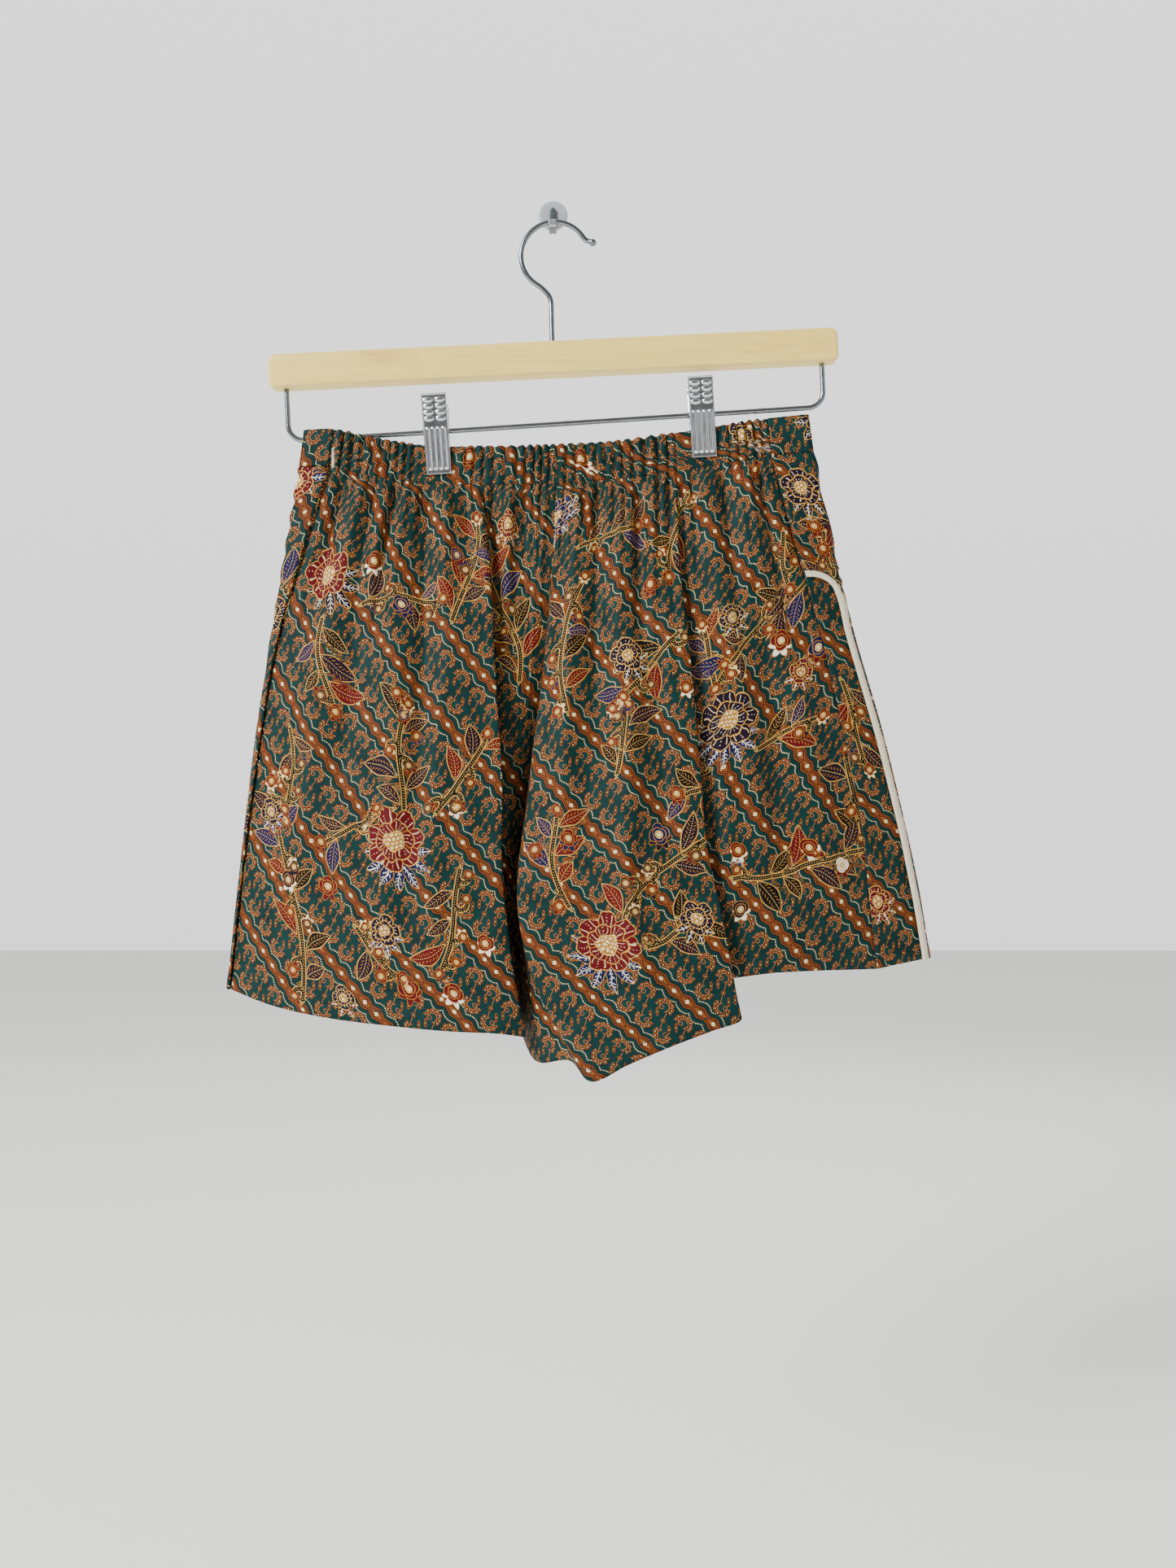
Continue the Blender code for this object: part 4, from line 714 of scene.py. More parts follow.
# The print's real sizes in mm, measured along and across its diagonal bands, and its colours
batikPrint = {
    "bandAngle": math.radians(50),
    "bandHalf": 19.8,           # from a band's middle to the middle of the field beside it
    "repeat": 10.0,
    "scrollPitch": 14.0,
    "largeFlower": 9.5,         # flowers of a larger radius than this get their beads and veins
    "ground": "#063230", "groundDeep": "#031A19",
    "orange": "#8C4A1C", "thinOrange": "#965424", "rust": "#220703", "gold": "#9C671A",
    "cream": "#DCC694", "bead": "#DDB661", "white": "#E6DEC6", "ink": "#040407",
    "crimson": "#56050F", "navy": "#090F40", "plum": "#16091E", "thread": "#0B2A28",
}

# Flowers as the camera sees them: x, z and radius in mm, turn in degrees, petals, outer and inner colour
flowers = (
    (-98, -410, 26, 10, 11, "navy", "crimson"), (32, -475, 26, -20, 11, "navy", "crimson"),
    (-145, -236, 23, 40, 9, "plum", "crimson"), (113, -330, 25, 5, 12, "navy", "plum"),
    (0, -199, 19, 60, 8, "navy", "navy"), (162, -179, 17, 15, 9, "plum", "plum"),
    (94, -455, 14, -30, 8, "plum", "plum"), (211, -444, 13, 20, 8, "crimson", "crimson"),
    (121, -410, 7, 0, 5, "white", "crimson"), (167, -408, 8, 30, 5, "white", "crimson"),
    (123, -448, 7, 10, 5, "white", "plum"), (-31, -205, 12, -10, 7, "crimson", "crimson"),
    (50, -286, 15, 25, 8, "plum", "plum"), (-109, -467, 13, 0, 9, "navy", "plum"),
    (-93, -499, 9, 15, 6, "crimson", "crimson"), (-65, -503, 8, -15, 6, "white", "crimson"),
    (-135, -505, 10, 5, 6, "crimson", "plum"), (-93, -324, 5, 0, 5, "crimson", "navy"),
    (-85, -337, 5, 20, 5, "navy", "crimson"), (-99, -309, 5, 40, 5, "crimson", "crimson"),
    (118, -262, 12, 30, 7, "plum", "plum"), (159, -296, 11, -10, 7, "crimson", "crimson"),
    (172, -281, 9, 15, 6, "crimson", "navy"), (146, -277, 9, 0, 6, "white", "crimson"),
    (13, -403, 7, 0, 6, "navy", "crimson"), (-12, -408, 6, 30, 5, "crimson", "crimson"),
    (-62, -382, 6, 0, 5, "white", "plum"), (-171, -431, 7, 10, 5, "white", "plum"),
    (-182, -387, 11, 20, 7, "navy", "plum"), (-145, -434, 8, 0, 6, "crimson", "crimson"),
    (-117, -226, 8, 0, 6, "white", "crimson"), (-93, -254, 8, 40, 6, "navy", "navy"),
    (123, -147, 13, 0, 8, "navy", "plum"), (131, -165, 8, 20, 6, "crimson", "crimson"),
    (21, -163, 8, 0, 6, "white", "crimson"), (-54, -158, 8, 10, 6, "crimson", "crimson"),
    (-152, -158, 9, 0, 7, "crimson", "plum"), (-161, -179, 9, 30, 6, "crimson", "crimson"),
    (60, -240, 7, 0, 6, "crimson", "crimson"), (87, -305, 6, 0, 5, "white", "crimson"),
    (70, -400, 9, 10, 6, "plum", "navy"), (-45, -470, 7, 0, 5, "white", "crimson"),
    (186, -420, 7, 0, 5, "crimson", "white"), (-60, -220, 6, 0, 5, "crimson", "navy"),
)
# Sprays as the camera sees them: x, z, heading in degrees (90 is up), length in mm, bend in degrees, seed
sprays = (
    (11, -319, 95, 92, -22, 1), (-62, -262, 62, 72, 25, 2), (165, -236, 222, 88, 14, 3), (-30, -262, 130, 50, -30, 4),
    (-161, -505, 84, 135, 24, 5), (-93, -388, 95, 70, -18, 6), (-72, -385, 42, 62, 30, 7), (8, -446, 108, 62, -30, 8),
    (44, -456, 62, 82, -46, 9), (98, -358, 205, 66, -25, 10), (134, -345, 34, 46, -30, 11),
    (118, -430, -4, 105, 12, 12), (80, -268, 212, 66, 22, 13), (-122, -250, 12, 62, -16, 14),
    (-128, -460, -62, 42, 30, 15), (150, -205, 262, 40, 20, 16), (-150, -262, 268, 60, 18, 17),
    (-60, -420, 262, 70, -20, 18), (62, -470, 8, 44, 30, 19), (102, -305, 96, 44, 24, 20), (186, -300, 262, 60, 16, 21),
    (20, -215, 28, 50, -26, 22), (-20, -300, 100, 60, 30, 23), (200, -400, 96, 60, 20, 24),
    (-105, -385, 190, 55, 30, 25), (40, -360, 60, 50, 40, 26), (-170, -330, 280, 60, -14, 27), (85, -180, 240, 60, 20, 28),
)


def toward(angles):     # level steps in the flat cloth, whose second axis runs down
    return np.stack([np.cos(angles), -np.sin(angles)], -1)


def growSpray(at, heading, length, bend, seed):
    # A stem with leaves to both sides, curling tendrils and small buds, laid out in the flat cloth
    draw = np.random.default_rng(seed)
    steps = max(4, int(length / 3))
    angles = np.radians(heading + np.linspace(0, bend, steps) + 9 * np.sin(np.linspace(0, 5, steps) + seed))
    stem = np.array(at) + np.concatenate([[(0, 0)], np.cumsum(toward(angles) * 3.0, axis=0)])
    stems, leaves, buds, side = [stem], [], [], 1
    for k in range(2, steps - 1, 3):
        angle = angles[k] + side * math.radians(draw.uniform(35, 65))
        if draw.random() < 0.68:
            size = draw.uniform(8, 13)
            leaves.append((*(stem[k] + toward(angle) * (size + 1.5)), size, size * draw.uniform(0.36, 0.5), angle,
                           side * draw.uniform(0.006, 0.02), draw.choice(("plum", "navy", "ink", "plum", "crimson"))))
        else:       # a tendril that ends in a bud
            reach = draw.uniform(2.2, 3.4)
            turns = angle + side * np.linspace(0, 4.2, 9)
            path = stem[k] + np.cumsum(toward(turns) * reach * 0.7, axis=0)
            stems.append(np.concatenate([stem[k][None], path[:6]]))
            buds.append((*path[5], draw.uniform(4.0, 5.6), draw.uniform(0, 360), 5,
                         draw.choice(("crimson", "crimson", "navy", "plum", "cream")),
                         draw.choice(("crimson", "crimson", "plum"))))
        side = -side
    buds.append((*stem[-1], draw.uniform(4.5, 6.5), 0, 6, draw.choice(("crimson", "cream", "plum")), "crimson"))
    return {"stems": stems, "leaves": leaves, "blooms": buds}


def addSpray(panel, *plan):
    for key, grown in growSpray(*plan).items():
        panel[key] += grown


def findPlace(panels, x, z):        # the panel that the camera sees there, and where in its flat cloth
    found = []
    for panel in panels.values():
        away = np.linalg.norm(panel["seen"] - (x, z), axis=-1)
        if away.min() <= 7:
            depth = np.where(away < max(3.0, away.min() + 0.5), panel["rows"][..., 1], 9.0)
            index = np.unravel_index(np.argmin(depth), depth.shape)
            found.append((depth[index], panel, panel["cloth"][index]))
    return min(found, key=lambda entry: entry[0])[1:] if found else (None, None)


def printPlaces(panels):
    # Puts each flower and spray on the panel that the camera sees there; the hidden panels get their own
    for panel in panels.values():
        panel.update(stems=[], leaves=[], blooms=[], seen=seen(panel["rows"]))
    for x, z, *bloom in flowers:
        panel, at = findPlace(panels, x, z)
        if panel:
            panel["blooms"].append((*at, *bloom))
    for x, z, *plan in sprays:
        panel, at = findPlace(panels, x, z)
        if panel:
            addSpray(panel, at, *plan)
    for number, panel in enumerate(panels.values()):
        if panel["shown"]:
            continue
        draw = np.random.default_rng(40 + number)
        low, high = panel["cloth"].min(axis=(0, 1)), panel["cloth"].max(axis=(0, 1))
        for u in np.arange(low[0] + 25, high[0], 78):
            for v in np.arange(low[1] + 20, high[1], 84):
                at = np.array((u, v)) + draw.uniform(-16, 16, 2)
                panel["blooms"].append((*at, draw.uniform(17, 26), draw.uniform(0, 360), int(draw.integers(8, 13)),
                                        draw.choice(("navy", "plum")), draw.choice(("crimson", "plum"))))
                for heading in (draw.uniform(20, 110), draw.uniform(180, 300)):
                    addSpray(panel, at + 20 * toward(math.radians(heading)), heading, draw.uniform(40, 75),
                             draw.uniform(-35, 35), int(draw.integers(1000)))


def motifLayers(panel):
    # Each vertex learns where it lies in the nearest flower, leaf and stem, in mm
    flat, blooms, leaves = panel["cloth"], panel["blooms"], panel["leaves"]
    shape = flat.shape[:2]
    high, wide = np.indices(shape)
    hue = {name: linearColour(value)[:3] for name, value in batikPrint.items() if str(value).startswith("#")}
    layers = {}

    def turned(motif, angle):
        c, s = math.cos(angle), math.sin(angle)
        return (flat - motif[:2]) @ np.array(((c, -s), (-s, -c)))

    def keep(kind, places, masks, **facts):     # the motif that covers a vertex most, and its lead over the next one
        nothing = np.full((2, *shape), -60.0)
        values = np.concatenate([np.reshape(masks, (-1, *shape)), nothing])
        order = np.argsort(values, axis=0)
        top, second = np.take_along_axis(values, order[:-3:-1], 0)
        pick = np.minimum(order[-1], max(len(places) - 1, 0))
        at = np.array(places)[pick, high, wide] if places else np.zeros((*shape, 2))
        layers[kind + "Place"] = np.concatenate([at, np.minimum(top, top - second)[..., None]], -1)
        for name, rows in facts.items():
            layers[kind + name] = np.array(rows or [(6, 1, 0)], float)[pick]

    places = [turned(bloom, math.radians(bloom[3])) for bloom in blooms]
    keep("bloom", places, [bloom[2] + 1 - np.linalg.norm(at, axis=-1) for bloom, at in zip(blooms, places)],
         Shape=[(bloom[4], bloom[2], 0) for bloom in blooms],
         Outer=[hue[bloom[5]] for bloom in blooms], Inner=[hue[bloom[6]] for bloom in blooms])
    places, masks = [turned(leaf, leaf[4]) for leaf in leaves], []
    for leaf, at in zip(leaves, places):
        at[..., 1] -= leaf[5] * at[..., 0] ** 2
        masks.append(np.minimum(leaf[2] + 1.5 - np.abs(at[..., 0]), leaf[3] + 2 - np.abs(at[..., 1])))
    keep("leaf", places, masks,
         Shape=[(leaf[2], leaf[3], 0) for leaf in leaves], Fill=[hue[leaf[6]] for leaf in leaves])
    places, masks = [], []
    for stem in panel["stems"]:
        nearest, signed, where, length = np.full(shape, 1e9), np.zeros(shape), np.zeros(shape), 0.0
        for start, line in zip(stem, np.diff(stem, axis=0)):
            size, rel = np.linalg.norm(line), flat - start
            share = np.clip(rel @ line / size**2, 0, 1)
            off = np.linalg.norm(rel - share[..., None] * line, axis=-1)
            closer = off < nearest
            nearest = np.where(closer, off, nearest)
            signed = np.where(closer, off * np.sign(line[0] * rel[..., 1] - line[1] * rel[..., 0]), signed)
            where = np.where(closer, length + share * size, where)
            length += size
        places.append(np.stack([signed, where], -1))
        masks.append(3.2 - nearest)
    keep("stem", places, masks)
    return layers


def linearColour(hexText):      # sRGB hex to linear
    shares = [int(hexText[k:k + 2], 16) / 255 for k in (1, 3, 5)]
    return (*(c / 12.92 if c <= 0.04045 else ((c + 0.055) / 1.055) ** 2.4 for c in shares), 1.0)


def setInputs(tree, node, inputs):      # links sockets, and sets plain values
    for socket, value in inputs.items():
        if isinstance(value, bpy.types.NodeSocket):
            tree.links.new(value, node.inputs[socket])
        else:
            node.inputs[socket].default_value = value


def addNode(tree, kind, *inputs, out=0, **settings):
    # One node with its settings and links; a name in capitals is a math operation
    node = tree.nodes.new("ShaderNode" + ("Math" if kind.isupper() else kind))
    if kind.isupper():
        node.operation = kind
    for key, value in settings.items():
        setattr(node, key, value)
    setInputs(tree, node, inputs[0] if inputs and isinstance(inputs[0], dict) else dict(enumerate(inputs)))
    return [node.outputs[k] for k in out] if isinstance(out, tuple) else node.outputs[out]


def newMaterial(name):
    material = bpy.data.materials.new(name)
    material.use_nodes = True
    tree = material.node_tree
    return material, partial(addNode, tree), partial(setInputs, tree, tree.nodes["Principled BSDF"])


xyz = (0, 1, 2)                                 # all three outputs of a node
colourMix = {"out": 2, "data_type": "RGBA"}     # its inputs: 0 the share, 6 and 7 the colours


def batikMaterial(hues):
    # Wax-dyed cotton: the banded ground with scrolls, and over it stems, leaves and flowers with beaded outlines
    material, node, setShader = newMaterial("wax-dyed cotton")
    hue = {name: linearColour(value) for name, value in hues.items() if str(value).startswith("#")}
    look = hue["ground"]

    def within(distance, limit, soft=0.2):      # 1 inside the limit, with a soft edge
        return node("MULTIPLY_ADD", distance, -1 / soft, limit / soft + 0.5, use_clamp=True)

    def near(value, at, half, soft=0.2):
        return within(node("ABSOLUTE", node("SUBTRACT", value, at)), half, soft)

    def size(x, y):
        return node("SQRT", node("ADD", node("MULTIPLY", x, x), node("MULTIPLY", y, y)))

    def dots(along, half, off, radius):         # a row of round dots, one to each two halves
        return within(size(node("WRAP", along, half, -half), off), radius)

    def wave(value, pitch):
        return node("COSINE", node("MULTIPLY", value, 2 * math.pi / pitch))

    def place(name):
        return node("SeparateXYZ", node("Attribute", attribute_name=name, out=1), out=xyz)

    def overlap(*masks):
        return reduce(partial(node, "MULTIPLY"), masks)

    def paint(colour, *masks):
        nonlocal look
        colour = hue[colour] if isinstance(colour, str) else colour
        look = node("Mix", {0: overlap(*masks), 6: look, 7: colour}, **colourMix)

    def rings(distance, colours, *masks, soft=0.2):     # one colour inside the other, from the widest in
        for limit, colour in colours:
            paint(colour, within(distance, limit, soft), *masks)

    flat = node("VectorMath", {0: node("UVMap", uv_map="clothUV"), 3: 1000.0}, operation="SCALE")
    spot = flat
    for scale, shift in ((0.03, 1.6), (0.22, 0.5)):     # the hand's drift
        drift = node("TexNoise", {"Vector": flat, "Scale": scale, "Detail": 1.0}, out=1)
        spot = node("VectorMath", drift, (shift, shift, 0), spot, operation="MULTIPLY_ADD")
    c, s = math.cos(hues["bandAngle"]), math.sin(hues["bandAngle"])
    a, b = (node("VectorMath", spot, axis, operation="DOT_PRODUCT", out=1) for axis in ((c, s, 0), (-s, c, 0)))
    fromBand = node("PINGPONG", b, hues["bandHalf"])
    fromLozenge = node("PINGPONG", a, hues["repeat"] / 2)
    wavy = node("MULTIPLY_ADD", fromLozenge, -4 / hues["repeat"], 1.0)

    # The ground, and the orange bands with their wavy rust lines and cream lozenges
    patchy = node("TexNoise", {"Vector": flat, "Scale": 0.07, "Detail": 3.0})
    paint("groundDeep", node("MULTIPLY_ADD", patchy, 1.6, -0.45, use_clamp=True))
    rings(node("MULTIPLY_ADD", wavy, -0.95, fromBand), ((3.7, "ink"), (3.1, "orange")))
    for swing, at, half in ((0.95, 2.3, 0.32), (1.1, 1.3, 0.28)):
        paint("rust", near(fromBand, node("MULTIPLY_ADD", wavy, swing, at), half))
    lozenge = node("ADD", node("MULTIPLY", fromLozenge, 1 / 2.3), node("MULTIPLY", fromBand, 1 / 2.0))
    rings(lozenge, ((1.05, "rust"), (0.76, "cream")), soft=0.12)

    # Scalloped lines of wax dots beside each band
    scallop = node("ABSOLUTE", node("COSINE", node("MULTIPLY", a, math.pi / hues["repeat"])))
    paint("cream", dots(a, 0.6, node("SUBTRACT", fromBand, node("MULTIPLY_ADD", scallop, 2.3, 5.0)), 0.36))

    # The field: each ringed dot joins two combed scrolls, one a half turn from the other, with slim leaves between
    middle = node("WRAP", node("ADD", b, hues["bandHalf"]), hues["bandHalf"], -hues["bandHalf"])
    f = node("ABSOLUTE", middle)
    g = node("MULTIPLY", a, node("SIGN", middle))
    half = hues["scrollPitch"] / 2
    combX, combY = node("WRAP", node("SUBTRACT", g, 5.2), half, -half), node("SUBTRACT", f, 7.4)
    r = size(combX, combY)
    angle = node("SUBTRACT", node("ARCTAN2", combY, combX), math.pi / 2)
    turned = node("ABSOLUTE", node("WRAP", angle, math.pi, -math.pi))
    combed = node("LESS_THAN", turned, 1.95)
    lobeX, lobeY = node("MULTIPLY", node("WRAP", angle, 0.325, -0.325), 4.25), node("SUBTRACT", r, 4.3)
    lobe = size(node("MULTIPLY", lobeX, 1 / 1.42), node("MULTIPLY", lobeY, 1 / 1.5))
    rings(lobe, ((1.2, "ink"), (1.0, "thinOrange"), (0.72, "rust")), combed, soft=0.14)
    paint("cream", within(size(lobeX, node("SUBTRACT", lobeY, 0.2)), 0.36), combed)
    paint("ground", within(r, 2.95))
    paint("thinOrange", near(r, 2.95, 0.27), node("LESS_THAN", turned, 2.5))
    paint("thinOrange", near(size(node("SUBTRACT", combX, 1.2), node("ADD", combY, 1.0)), 1.15, 0.2))
    dotX = node("WRAP", g, half, -half)
    bridge = node("ABSOLUTE", node("MULTIPLY_ADD", f, -0.36, dotX))
    paint("thinOrange", within(bridge, 0.22), node("LESS_THAN", f, 6.2))
    slimX, slimY = node("WRAP", node("SUBTRACT", g, 6.0), half, -half), node("SUBTRACT", f, 2.0)
    slim = size(node("MULTIPLY", node("MULTIPLY_ADD", slimY, -0.7, slimX), 1 / 1.15), node("MULTIPLY", slimY, 1 / 2.6))
    rings(slim, ((1.15, "ink"), (0.95, "thinOrange"), (0.66, "rust"), (0.2, "bead")))
    rings(size(dotX, f), ((1.7, "ink"), (1.45, "thinOrange"), (1.12, "ink"), (0.42, "bead")))

    # Stems: a dark core with wax dots between two beaded lines
    across, along, mask = place("stemPlace")
    shown = node("GREATER_THAN", mask, 0.0)
    far = node("ABSOLUTE", across)
    rings(far, ((1.7, "gold"), (1.05, "ink")), shown)
    paint("bead", dots(along, 0.6, node("SUBTRACT", far, 1.35), 0.3), shown)
    paint("bead", dots(along, 0.8, across, 0.24), shown)

    # Leaves: beaded rim, dark blade, a gold rib and feathered veins
    x, y, mask = place("leafPlace")
    long, wide, _ = place("leafShape")
    shown = node("GREATER_THAN", mask, 0.0)
    share = node("POWER", node("ABSOLUTE", node("DIVIDE", x, long)), 1.7)
    y = node("ABSOLUTE", y)
    inside = node("SUBTRACT", node("MULTIPLY", wide, node("SUBTRACT", 1.0, share)), y)
    rim = node("MULTIPLY", inside, -1.0)
    paint("gold", within(rim, 0.35), shown)
    paint("bead", dots(x, 0.6, inside, 0.3), shown)
    core = overlap(within(rim, -0.35), shown)
    paint(node("Attribute", attribute_name="leafFill"), core)
    feather = node("GREATER_THAN", wave(node("MULTIPLY_ADD", y, -1.1, x), 2.4), 0.62)
    paint("gold", feather, core, near(y, node("MULTIPLY", wide, 0.42), 0.7), within(rim, -1.1))
    paint("bead", dots(x, 0.7, y, 0.3), core, within(rim, -0.8))

    # Flowers: feathered sepals hang below, two rings of petals stand above them, each edge beaded
    x, y, mask = place("bloomPlace")
    petals, radius, _ = place("bloomShape")
    shown = node("GREATER_THAN", mask, 0.0)
    large = overlap(shown, node("GREATER_THAN", radius, hues["largeFlower"]))
    fineness = node("MINIMUM", node("MULTIPLY", radius, 0.075), 1.0)
    uneven = node("TexNoise", {"Vector": flat, "Scale": 0.12, "Detail": 1.0}, out=1)
    moves = node("SeparateXYZ", uneven, out=(0, 1))
    x, y = (node("MULTIPLY_ADD", node("SUBTRACT", move, 0.5), node("MULTIPLY", radius, 0.22), at)
            for move, at in zip(moves, (x, y)))
    outer, inner = (node("Attribute", attribute_name=name) for name in ("bloomOuter", "bloomInner"))
    for reach, share, lift, depth, power, fill in (
            (0.86, 1.0, -0.14, 0.5, 1.3, outer),        # sepals
            (0.74, 0.6, 0.24, 0.24, 2.4, inner), (0.48, 0.5, 0.22, 0.18, 2.4, inner)):
        up = node("SUBTRACT", y, node("MULTIPLY", radius, lift))
        r, angle = size(x, up), node("ARCTAN2", up, x)
        count = node("ROUND", node("MULTIPLY", petals, share))
        turn = node("WRAP", node("MULTIPLY", angle, node("DIVIDE", count, 2 * math.pi)), 0.5, -0.5)
        petal = node("ABSOLUTE", node("MULTIPLY", turn, 2.0))
        edge = node("MULTIPLY_ADD", node("POWER", petal, power), -depth, 1.0)
        edge = node("MULTIPLY", node("MULTIPLY", radius, reach), edge)
        rim = node("DIVIDE", node("SUBTRACT", r, edge), fineness)
        paint("gold", within(rim, 0.4), shown)
        paint("bead", dots(node("MULTIPLY", angle, node("MULTIPLY", radius, 0.8 * reach)), 0.6, rim, 0.32), large)
        core = overlap(within(rim, -0.4), shown)
        paint(fill, core)
        core = overlap(core, large)
        halfPetal = node("DIVIDE", node("MULTIPLY", r, math.pi), count)
        sideways = node("MULTIPLY", petal, halfPetal)
        paint("gold", within(node("SUBTRACT", halfPetal, sideways), 0.3), core)
        if fill is outer:       # the sepals have barbs
            barbs = node("GREATER_THAN", wave(node("MULTIPLY_ADD", sideways, -1.1, r), 2.4), 0.66)
            paint("white", barbs, near(petal, 0.3, 0.14, 0.06), within(rim, -1.7), core)
            paint("white", within(sideways, 0.25), core)
        else:
            outerHalf = within(rim, -1.4)
            paint("cream", near(petal, 0.5, 0.04, 0.05), outerHalf, core)
            paint("cream", dots(r, 0.9, sideways, 0.3), core, outerHalf)
    up = node("SUBTRACT", y, node("MULTIPLY", radius, 0.2))
    heart = node("SUBTRACT", size(x, up), node("MULTIPLY", radius, 0.24))
    rings(heart, ((0.35, "bead"), (-0.15, "gold")), shown)
    scaleX = node("WRAP", node("MULTIPLY_ADD", node("FLOOR", node("DIVIDE", y, 2.7)), 1.4, x), 1.4, -1.4)
    scaleY = node("SUBTRACT", node("WRAP", y, 2.7, 0.0), 1.3)
    paint("cream", within(size(scaleX, scaleY), 1.05), within(heart, -0.5), large)
    paint("cream", within(heart, -0.6), shown, node("LESS_THAN", radius, hues["largeFlower"]))

    # Thread: hem stitches in dark green, and the cream bar-tack at the end of the elastic
    along, off, kind = place("sewing")
    stitch = overlap(near(off, 0.0, 0.28, 0.15), near(node("WRAP", along, 1.4, -1.4), 0.0, 1.0),
                     node("COMPARE", kind, 1.0, 0.2))
    zigzag = node("MULTIPLY_ADD", node("PINGPONG", along, 0.5), 3.2, -0.8)
    tack = overlap(near(off, zigzag, 0.55), near(along, 0.0, 8.6), node("COMPARE", kind, 2.0, 0.2))
    paint("thread", stitch)
    paint("white", tack)

    # Fine cracks of the wax, and threads that took the dye unevenly
    cracks = node("TexVoronoi", {"Vector": spot, "Scale": 0.09}, feature="DISTANCE_TO_EDGE")
    paint("ground", node("MULTIPLY", within(cracks, 0.012, 0.012), 0.18))
    drawn = node("VectorMath", flat, (1.6, 0.05, 1), operation="MULTIPLY")
    threads = node("TexNoise", {"Vector": drawn, "Scale": 1.0})
    look = node("HueSaturation", {"Value": node("MULTIPLY_ADD", threads, 0.3, 0.85), "Color": look})

    # Weave, drawn at 1 mm where the real threads lie at 0.3 mm
    weave = node("MULTIPLY", *(wave(value, 1.0) for value in node("SeparateXYZ", flat, out=(0, 1))))
    relief = node("MULTIPLY_ADD", weave, 0.5, node("TexNoise", {"Vector": flat, "Scale": 0.6, "Detail": 4.0}))
    relief = node("MULTIPLY_ADD", node("ADD", stitch, tack), 1.5, relief)
    setShader({
        "Base Color": look,
        "Normal": node("Bump", {"Height": relief, "Strength": 0.35, "Distance": 0.00012}),
        "Roughness": node("MULTIPLY_ADD", patchy, 0.2, 0.55),
        "IOR": 1.47, "Specular IOR Level": 0.14, "Sheen Weight": 0.02, "Sheen Roughness": 0.4,
    })
    return material


tapeLook = {"cotton": "#E9DFC2", "shade": "#C9BC9A", "thread": "#F4EDD8", "rib": 0.9, "stitch": 2.6, "stitchAt": 1.25}
woodLook = {"pale": "#F8DC74", "grain": "#E8C25C", "dark": "#BC9142", "worn": "#F6E2A0",
            "patch": (-108 * mm, 0, -97 * mm), "patchSize": (26.0, 1.0, 7.0)}
rubbedMetal = "#D6D8DA"
metalLook = {
    "chrome wire": {"colour": "#8B9095", "dark": "#777C81", "rough": 0.24, "varied": 0.04,
                    "grain": (40.0, 900.0, 900.0), "depth": 0.000003, "rubbed": 0.0},
    "bright zinc": {"colour": "#D9DCDD", "dark": "#BDC1C3", "rough": 0.16, "varied": 0.14,
                    "grain": (260.0, 260.0, 90.0), "depth": 0.00004, "rubbed": 0.6},
    "spring steel": {"colour": "#9A9C9E", "dark": "#6C6E70", "rough": 0.25, "varied": 0.15,
                     "grain": (900.0, 900.0, 900.0), "depth": 0.00003, "rubbed": 0.3},
}
# the disc's plain colour, and the darker colour of the painted shade over its middle
discLook = {"plastic": "#AEB5B6", "core": "#8E969A"}
hookLook = {"paint": "#434A4F", "worn": "#B9BCBE", "wornFrom": -14.6 * mm}
floorLook = {"paper": "#F2F2F0", "size": 8.0, "height": -0.95}


def tapeMaterial(look):
    # Bias tape in plain cotton: fine ribs aslant and a row of stitches at each side
    material, node, setShader = newMaterial("folded cotton tape")
    cotton, shade, thread = (linearColour(look[key]) for key in ("cotton", "shade", "thread"))
    flat = node("VectorMath", {0: node("UVMap", uv_map="clothUV"), 3: 1000.0}, operation="SCALE")
    u, v = node("SeparateXYZ", flat, out=(0, 1))
    threads = node("MULTIPLY", *(node("SINE", node("MULTIPLY", node(way, u, v), 2 * math.pi / look["rib"]))
                                 for way in ("ADD", "SUBTRACT")))
    soiled = node("TexNoise", {"Vector": flat, "Scale": 0.09, "Detail": 4.0})
    share = node("MULTIPLY_ADD", threads, 0.12, node("MULTIPLY_ADD", soiled, 0.9, -0.2), use_clamp=True)
    colour = node("Mix", {0: share, 6: cotton, 7: shade}, **colourMix)
    row = node("LESS_THAN", node("ABSOLUTE", node("SUBTRACT", node("ABSOLUTE", u), look["stitchAt"])), 0.22)
    dash = node("LESS_THAN", node("ABSOLUTE", node("WRAP", v, look["stitch"] / 2, -look["stitch"] / 2)), 0.95)
    stitch = node("MULTIPLY", row, dash)
    relief = node("MULTIPLY_ADD", stitch, 2.0, threads)
    setShader({
        "Base Color": node("Mix", {0: stitch, 6: colour, 7: thread}, **colourMix),
        "Normal": node("Bump", {"Height": relief, "Strength": 0.5, "Distance": 0.0002}),
        "Roughness": node("MULTIPLY_ADD", soiled, 0.2, 0.7),
        "IOR": 1.47, "Sheen Weight": 0.15,
    })
    return material


